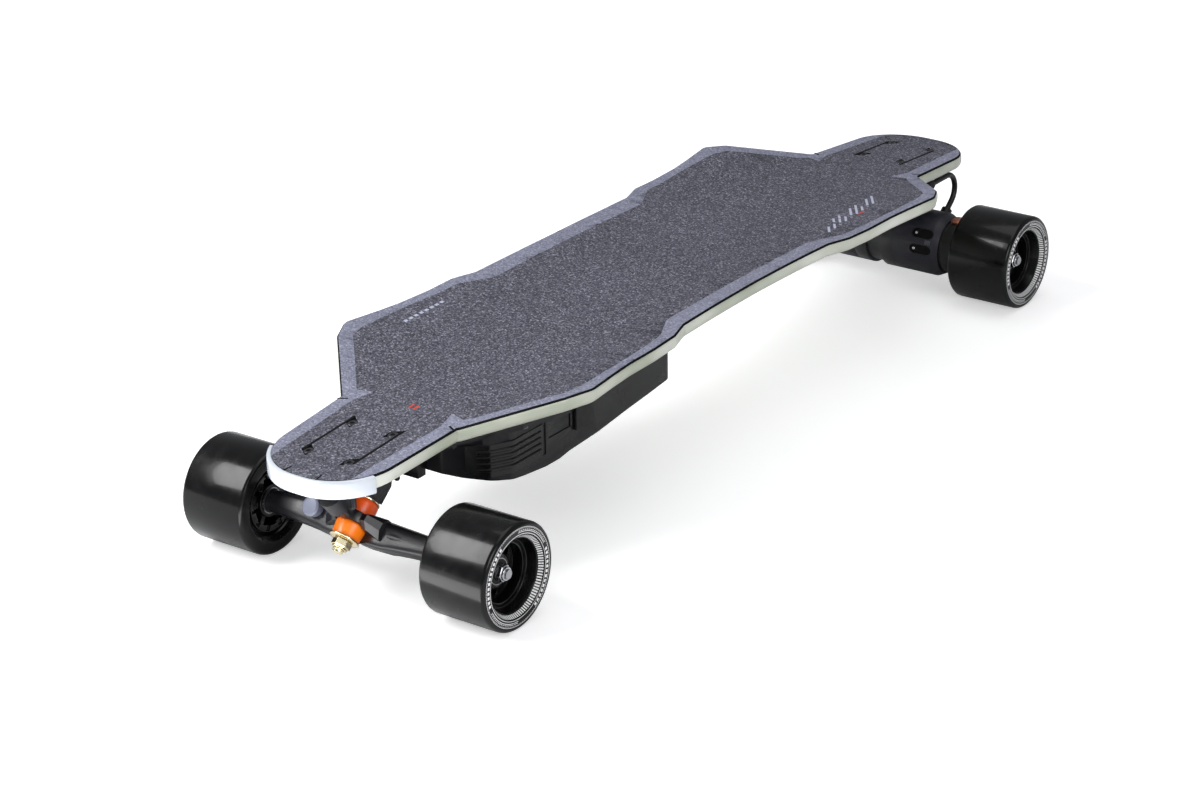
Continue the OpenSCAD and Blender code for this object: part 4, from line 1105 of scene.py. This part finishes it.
def make_motor_details():
    """Screws in the vent slots, near-black sheets in the slots as painted shade, small windows
    between the slots, and the housing's seam with a near-black ring of painted shade between
    housing and wheel.
    """
    screws, windows, seam_and_gap_shade, slot_shade = (bmesh.new() for _ in range(4))
    screw = [(0.01, 0, 0), (1.5, 0, 0), (1.5, 1.0, 0.4), (0.01, 1.2, 0)]
    # The first band is a seam; the second, a near-black disc between housing and wheel, is painted
    # shade of that gap.
    bands = ((20, motor_r - 0.6, 21.5, 22.5), (9.2, 25.4, 70.1, 72.9))
    rear_axle = moved(-axle_x, 0, axle_z)
    for side in (LEFT, RIGHT):
        for angle in (4, 34, 146, 176):
            lay = rear_axle @ turned("Y", 90 - angle)
            turned_solid(screws, lay @ moved(0, side * 45.5, motor_r - 1.6), screw, 20)
            # A near-black sheet in each vent slot: painted shade.
            inlay = lay @ moved(0, side * 52.5, motor_r - 1.7)
            block(slot_shade, inlay, (-4.5, -11.2, 0), (4.5, 11.2, 0.5), 4.4, 0.1)
        for angle in (19, 161):
            lay = rear_axle @ turned("Y", 90 - angle) @ moved(0, side * 60, motor_r - 1.2)
            block(windows, lay, (-2.2, -3, 0), (2.2, 3, 1.5), 0.6, 0.3)
        around = rear_axle @ turned("X", -90 * side)
        for inner, outer, low, high in bands:
            band = [(inner, low, 0), (outer, low, 0.1), (outer, high, 0.1), (inner, high, 0)]
            turned_solid(seam_and_gap_shade, around, band, 96)
    piece("motor_slot_screws", screws, "rear_truck", screw_bright)
    piece("motor_windows", windows, "rear_truck", window_grey)
    piece("motor_slot_shade", slot_shade, "rear_truck", dark_fill_and_painted_shade)
    piece("motor_seam_and_gap_shade", seam_and_gap_shade, "rear_truck", motor_dark_and_gap_shade)


def cable_points():
    """The motor cable's middle line in the rear truck's side view, with its heading."""
    cable_z = top_z(axle_x - 50) - deck_t - 11
    rise = cable_z - axle_z
    centre_z = rise - cable_bend
    turn = math.radians(cable_turn)
    out = -(cable_bend + centre_z * math.cos(turn)) / math.sin(turn)
    tilt = turn - math.pi / 2
    points = [(-5.5, rise, 0.0)]
    for k in range(29):
        a = turn * k / 28
        points.append((out + cable_bend * math.sin(a), centre_z + cable_bend * math.cos(a), a))
    inner = motor_r - 1.5
    start = points[-1]
    for k in range(1, 9):
        share = k / 8
        x = start[0] + (inner * math.sin(tilt) - start[0]) * share
        z = start[1] + (inner * math.cos(tilt) - start[1]) * share
        points.append((x, z, turn))
    return points


def make_cables():
    """Motor cables, from under the board to the motor."""
    points = cable_points()
    circle = polygon_corners(cable_d / 2, 24)
    sections = [
        [(x + up * math.sin(h), across, z + up * math.cos(h)) for up, across, _ in circle]
        for x, z, h in points
    ]
    for name, side in SIDES.items():
        bm = bmesh.new()
        loft(bm, at_axle(REAR) @ moved(0, -side * cable_y, 0), sections)
        ends = ((-axle_x - x, side * cable_y, axle_z + z) for x, z, _ in (points[4], points[-6]))
        flexing(name + "_cable", bm, cable_black, name + "_motor_cable", "rear_truck", *ends)


# Enclosure


def wall_path(out, x0, x1):
    """Points along the enclosure's left wall from x1 back to x0, each with one further out."""
    corners = [
        (encl_x1, 44, 6),
        (encl_x1 - 22, encl_half_w - 10, 10),
        (encl_x1 - 40, encl_half_w, 14),
        (encl_x1 - encl_l, encl_half_w, 10),
    ]
    plan = corners + [(x, -y, r) for x, y, r in corners[::-1]]
    inner, outer = rounded(grown(plan, -0.6)), rounded(grown(plan, out))
    path = []
    for i in range(len(inner) - 1):
        (ax, ay), (bx, by), (cx, cy), (dx, dy) = inner[i], inner[i + 1], outer[i], outer[i + 1]
        steps = max(1, math.ceil(math.hypot(bx - ax, by - ay) / 3))
        for k in range(steps):
            u = k / steps
            a = (ax + (bx - ax) * u, ay + (by - ay) * u)
            if x0 <= a[0] <= x1 and a[1] > 0:
                path.append((a, (cx + (dx - cx) * u, cy + (dy - cy) * u)))
    return path


def bent_strip(bm, side, x0, x1, low, high, out, tapers=(), chamfer=0.5):
    """A strip bent round the enclosure's wall; its front end can taper upwards."""
    sections = []
    for i, (a, b) in enumerate(wall_path(out, x0, x1)):
        z0 = low + (tapers[i] if i < len(tapers) else 0)
        near = chamfer / (out + 0.6)
        c = (b[0] + (a[0] - b[0]) * near, b[1] + (a[1] - b[1]) * near)
        rim = [(a, z0), (c, z0), (b, z0 + chamfer), (b, high - chamfer), (c, high), (a, high)]
        sections.append([(p[0], side * p[1], z) for p, z in rim])
    loft(bm, Matrix.Identity(4), sections)


def make_side_panels():
    """Ribbed panels bent round the enclosure's front corners."""
    bm = bmesh.new()
    low, high = floor_z + 10.5, floor_z + 39.5
    ribs = 4
    for side in (LEFT, RIGHT):
        bent_strip(bm, side, encl_x1 - 82, encl_x1 - 11, low, high, 0.7, (6, 3.5, 1.8, 0.7))
        for i in range(ribs):
            z = low + 5.5 + i * (high - low - 8) / ribs
            bent_strip(bm, side, encl_x1 - 77, encl_x1 - 16, z, z + 3.0, 2.0, (), 0.8)
    piece("ribbed_panels", bm, "board", panel_black, ["side_panels"], angle=35)


# Everything, piece by piece: made anew, rounded off, or only given a material

make_deck()
make_bumper()
make_grip("grip_centre", grip_dark)
make_grip("grip_border", grip_light)
make_grip_shade_line()
make_bolt_windows()
make_deck_marks()
make_truck_bolts()
make_kingpins()
make_bushings()
make_front_arms()
make_hanger_pad()
for wheel, (end_sign, side_sign) in WHEELS.items():
    make_tyre(wheel, end_sign, side_sign)
    make_wheel_print(wheel, end_sign, side_sign)
    make_bearing_shields(wheel, end_sign, side_sign)
make_axle_ends()
make_motor_details()
make_cables()
make_side_panels()

REFINED = {
    "riser_pads": (rubber_black, 0.4),
    "front_baseplate": (cast_black, 0.8),
    "rear_baseplate": (cast_black, 0.8),
    "pivot_cups": (rubber_black, 0.3),
    "front_hanger": (hanger_black, 0.7),
    "rear_hanger": (hanger_black, 0.7),
    "enclosure_shell": (enclosure_black, 0.7),
    "enclosure_screws": (bolt_black, 0.3),
    "front_cable_block": (enclosure_black, 0.8),
    "charge_cover": (rubber_black, 0.4),
    "charge_jack": (steel, 0.2),
    "power_button": (rubber_black, 0.4),
    "cable_strain_reliefs": (cable_black, 0.4),
    "motor_housings": (motor_black, 0.5),
    "motor_cable_glands": (cable_black, 0.3),
    "front_speed_washers": (steel, 0.15),
    "rear_speed_washers": (steel, 0.15),
}
for wheel in WHEELS:
    REFINED[wheel + "_core"] = (core_black, 0.35)
for side_name in SIDES:
    # Rotors near-black as painted shade of the gap between housing and wheel.
    REFINED["rear_" + side_name + "_rotor"] = (motor_dark_and_gap_shade, 0.4)
    REFINED["rear_" + side_name + "_drive_lugs"] = (copper_lug, 0.4)
for node_name, (node_material, node_width) in REFINED.items():
    refined(node_name, node_material, node_width)

PLAIN = {
    "deck_cable_ribbon": cable_black,
    "enclosure_gasket": rubber_black,
    "battery_cells": cell_green,
    "battery_tray": tray_blue,
    "battery_leads": lead_red,
    "motor_controller": controller_metal,
    "power_switch": board_green,
    "motor_stators": copper_wire,
}
for wheel in WHEELS:
    PLAIN[wheel + "_bearings"] = bearing_steel
for node_name, node_material in PLAIN.items():
    dress(NODES[node_name], node_material)


# Floor, light and camera


def seen_by_camera(tree, output, plain, seen):
    """Shows one shader to the camera and the plain one to all other rays."""
    path = add_node(tree, "ShaderNodeLightPath")
    inputs = {0: path.outputs["Is Camera Ray"], 1: plain.outputs[0], 2: seen.outputs[0]}
    choose = add_node(tree, "ShaderNodeMixShader", inputs)
    add_node(tree, output, {0: choose.outputs[0]})


def make_floor():
    """Pale floor with the object's soft shadow on it, plain white further out."""
    bm = bmesh.new()
    bmesh.ops.create_grid(bm, x_segments=1, y_segments=1, size=40)
    mesh = bpy.data.meshes.new("floor")
    bm.to_mesh(mesh)
    bm.free()
    floor = bpy.data.objects.new("floor", mesh)
    bpy.context.scene.collection.objects.link(floor)
    material = bpy.data.materials.new("floor")
    material.use_nodes = True
    tree = material.node_tree
    tree.nodes.clear()
    diffuse = add_node(tree, "ShaderNodeBsdfDiffuse", {"Color": (0.86, 0.86, 0.87, 1)})
    place = add_node(tree, "ShaderNodeNewGeometry").outputs["Position"]
    distance = add_node(tree, "ShaderNodeVectorMath", {0: place}, operation="LENGTH")
    reach = {"From Min": 1.0, "From Max": 1.7, "To Min": 0.5, "To Max": 1.0}
    reach["Value"] = distance.outputs["Value"]
    fade = add_node(tree, "ShaderNodeMapRange", reach)
    lift = add_node(tree, "ShaderNodeEmission", {"Strength": fade.outputs["Result"]})
    both = add_node(tree, "ShaderNodeAddShader", {0: diffuse.outputs[0], 1: lift.outputs[0]})
    seen_by_camera(tree, "ShaderNodeOutputMaterial", diffuse, both)
    mesh.materials.append(material)


def area_light(name, place, target, size, watts, upward=(0, 0, 1)):
    lamp = bpy.data.lights.new(name, "AREA")
    lamp.shape = "RECTANGLE"
    lamp.size, lamp.size_y = size
    lamp.energy = watts
    obj = bpy.data.objects.new(name, lamp)
    back = (Vector(place) - Vector(target)).normalized()
    right = Vector(upward).cross(back).normalized()
    axes = Matrix((right, back.cross(right), back)).transposed().to_4x4()
    obj.matrix_world = Matrix.Translation(place) @ axes
    obj.visible_camera = False
    bpy.context.scene.collection.objects.link(obj)


def make_world():
    """White behind everything that the camera sees; soft grey light elsewhere."""
    world = bpy.data.worlds.new("studio")
    world.use_nodes = True
    tree = world.node_tree
    tree.nodes.clear()
    soft = {"Color": (0.95, 0.97, 1.0, 1), "Strength": 0.28}
    ambient = add_node(tree, "ShaderNodeBackground", soft)
    white = add_node(tree, "ShaderNodeBackground", {"Color": (1, 1, 1, 1), "Strength": 1.0})
    seen_by_camera(tree, "ShaderNodeOutputWorld", ambient, white)
    bpy.context.scene.world = world


def make_camera():
    """Camera at the photograph's place, angle and lens."""
    azimuth, elevation = math.radians(camera_azimuth), math.radians(camera_elevation)
    level = math.cos(elevation)
    back = Vector((math.sin(azimuth) * level, -math.cos(azimuth) * level, math.sin(elevation)))
    right = Vector((0, 0, 1)).cross(back).normalized()
    up = back.cross(right)
    roll = math.radians(camera_roll)
    x = right * math.cos(roll) + up * math.sin(roll)
    y = up * math.cos(roll) - right * math.sin(roll)
    data = bpy.data.cameras.new("camera")
    data.sensor_width = camera_sensor
    data.lens = camera_lens
    data.clip_end = 200
    camera = bpy.data.objects.new("camera", data)
    axes = Matrix((x, y, back)).transposed().to_4x4()
    camera.matrix_world = Matrix.Translation(camera_place) @ axes
    bpy.context.scene.collection.objects.link(camera)
    bpy.context.scene.camera = camera


make_floor()
area_light("softbox_far", (1.48, -1.06, 1.585), (0.4, 0.1, 0.05), (1.0, 1.5), 54, (-0.83, 0, 0.56))
area_light("softbox_top", (-0.3, 0.2, 2.6), (0, 0, 0), (2.6, 1.6), 16)
area_light("softbox_near", (1.2, 2.4, 1.3), (0.1, 0, 0.05), (1.6, 1.2), 26)
area_light("floor_strip", (0.593, 0.03, 0.008), (0.593, 0.03, 1), (0.24, 0.188), 0.7, (1, 0, 0))
make_world()
make_camera()
bpy.context.scene.view_settings.view_transform = "Standard"
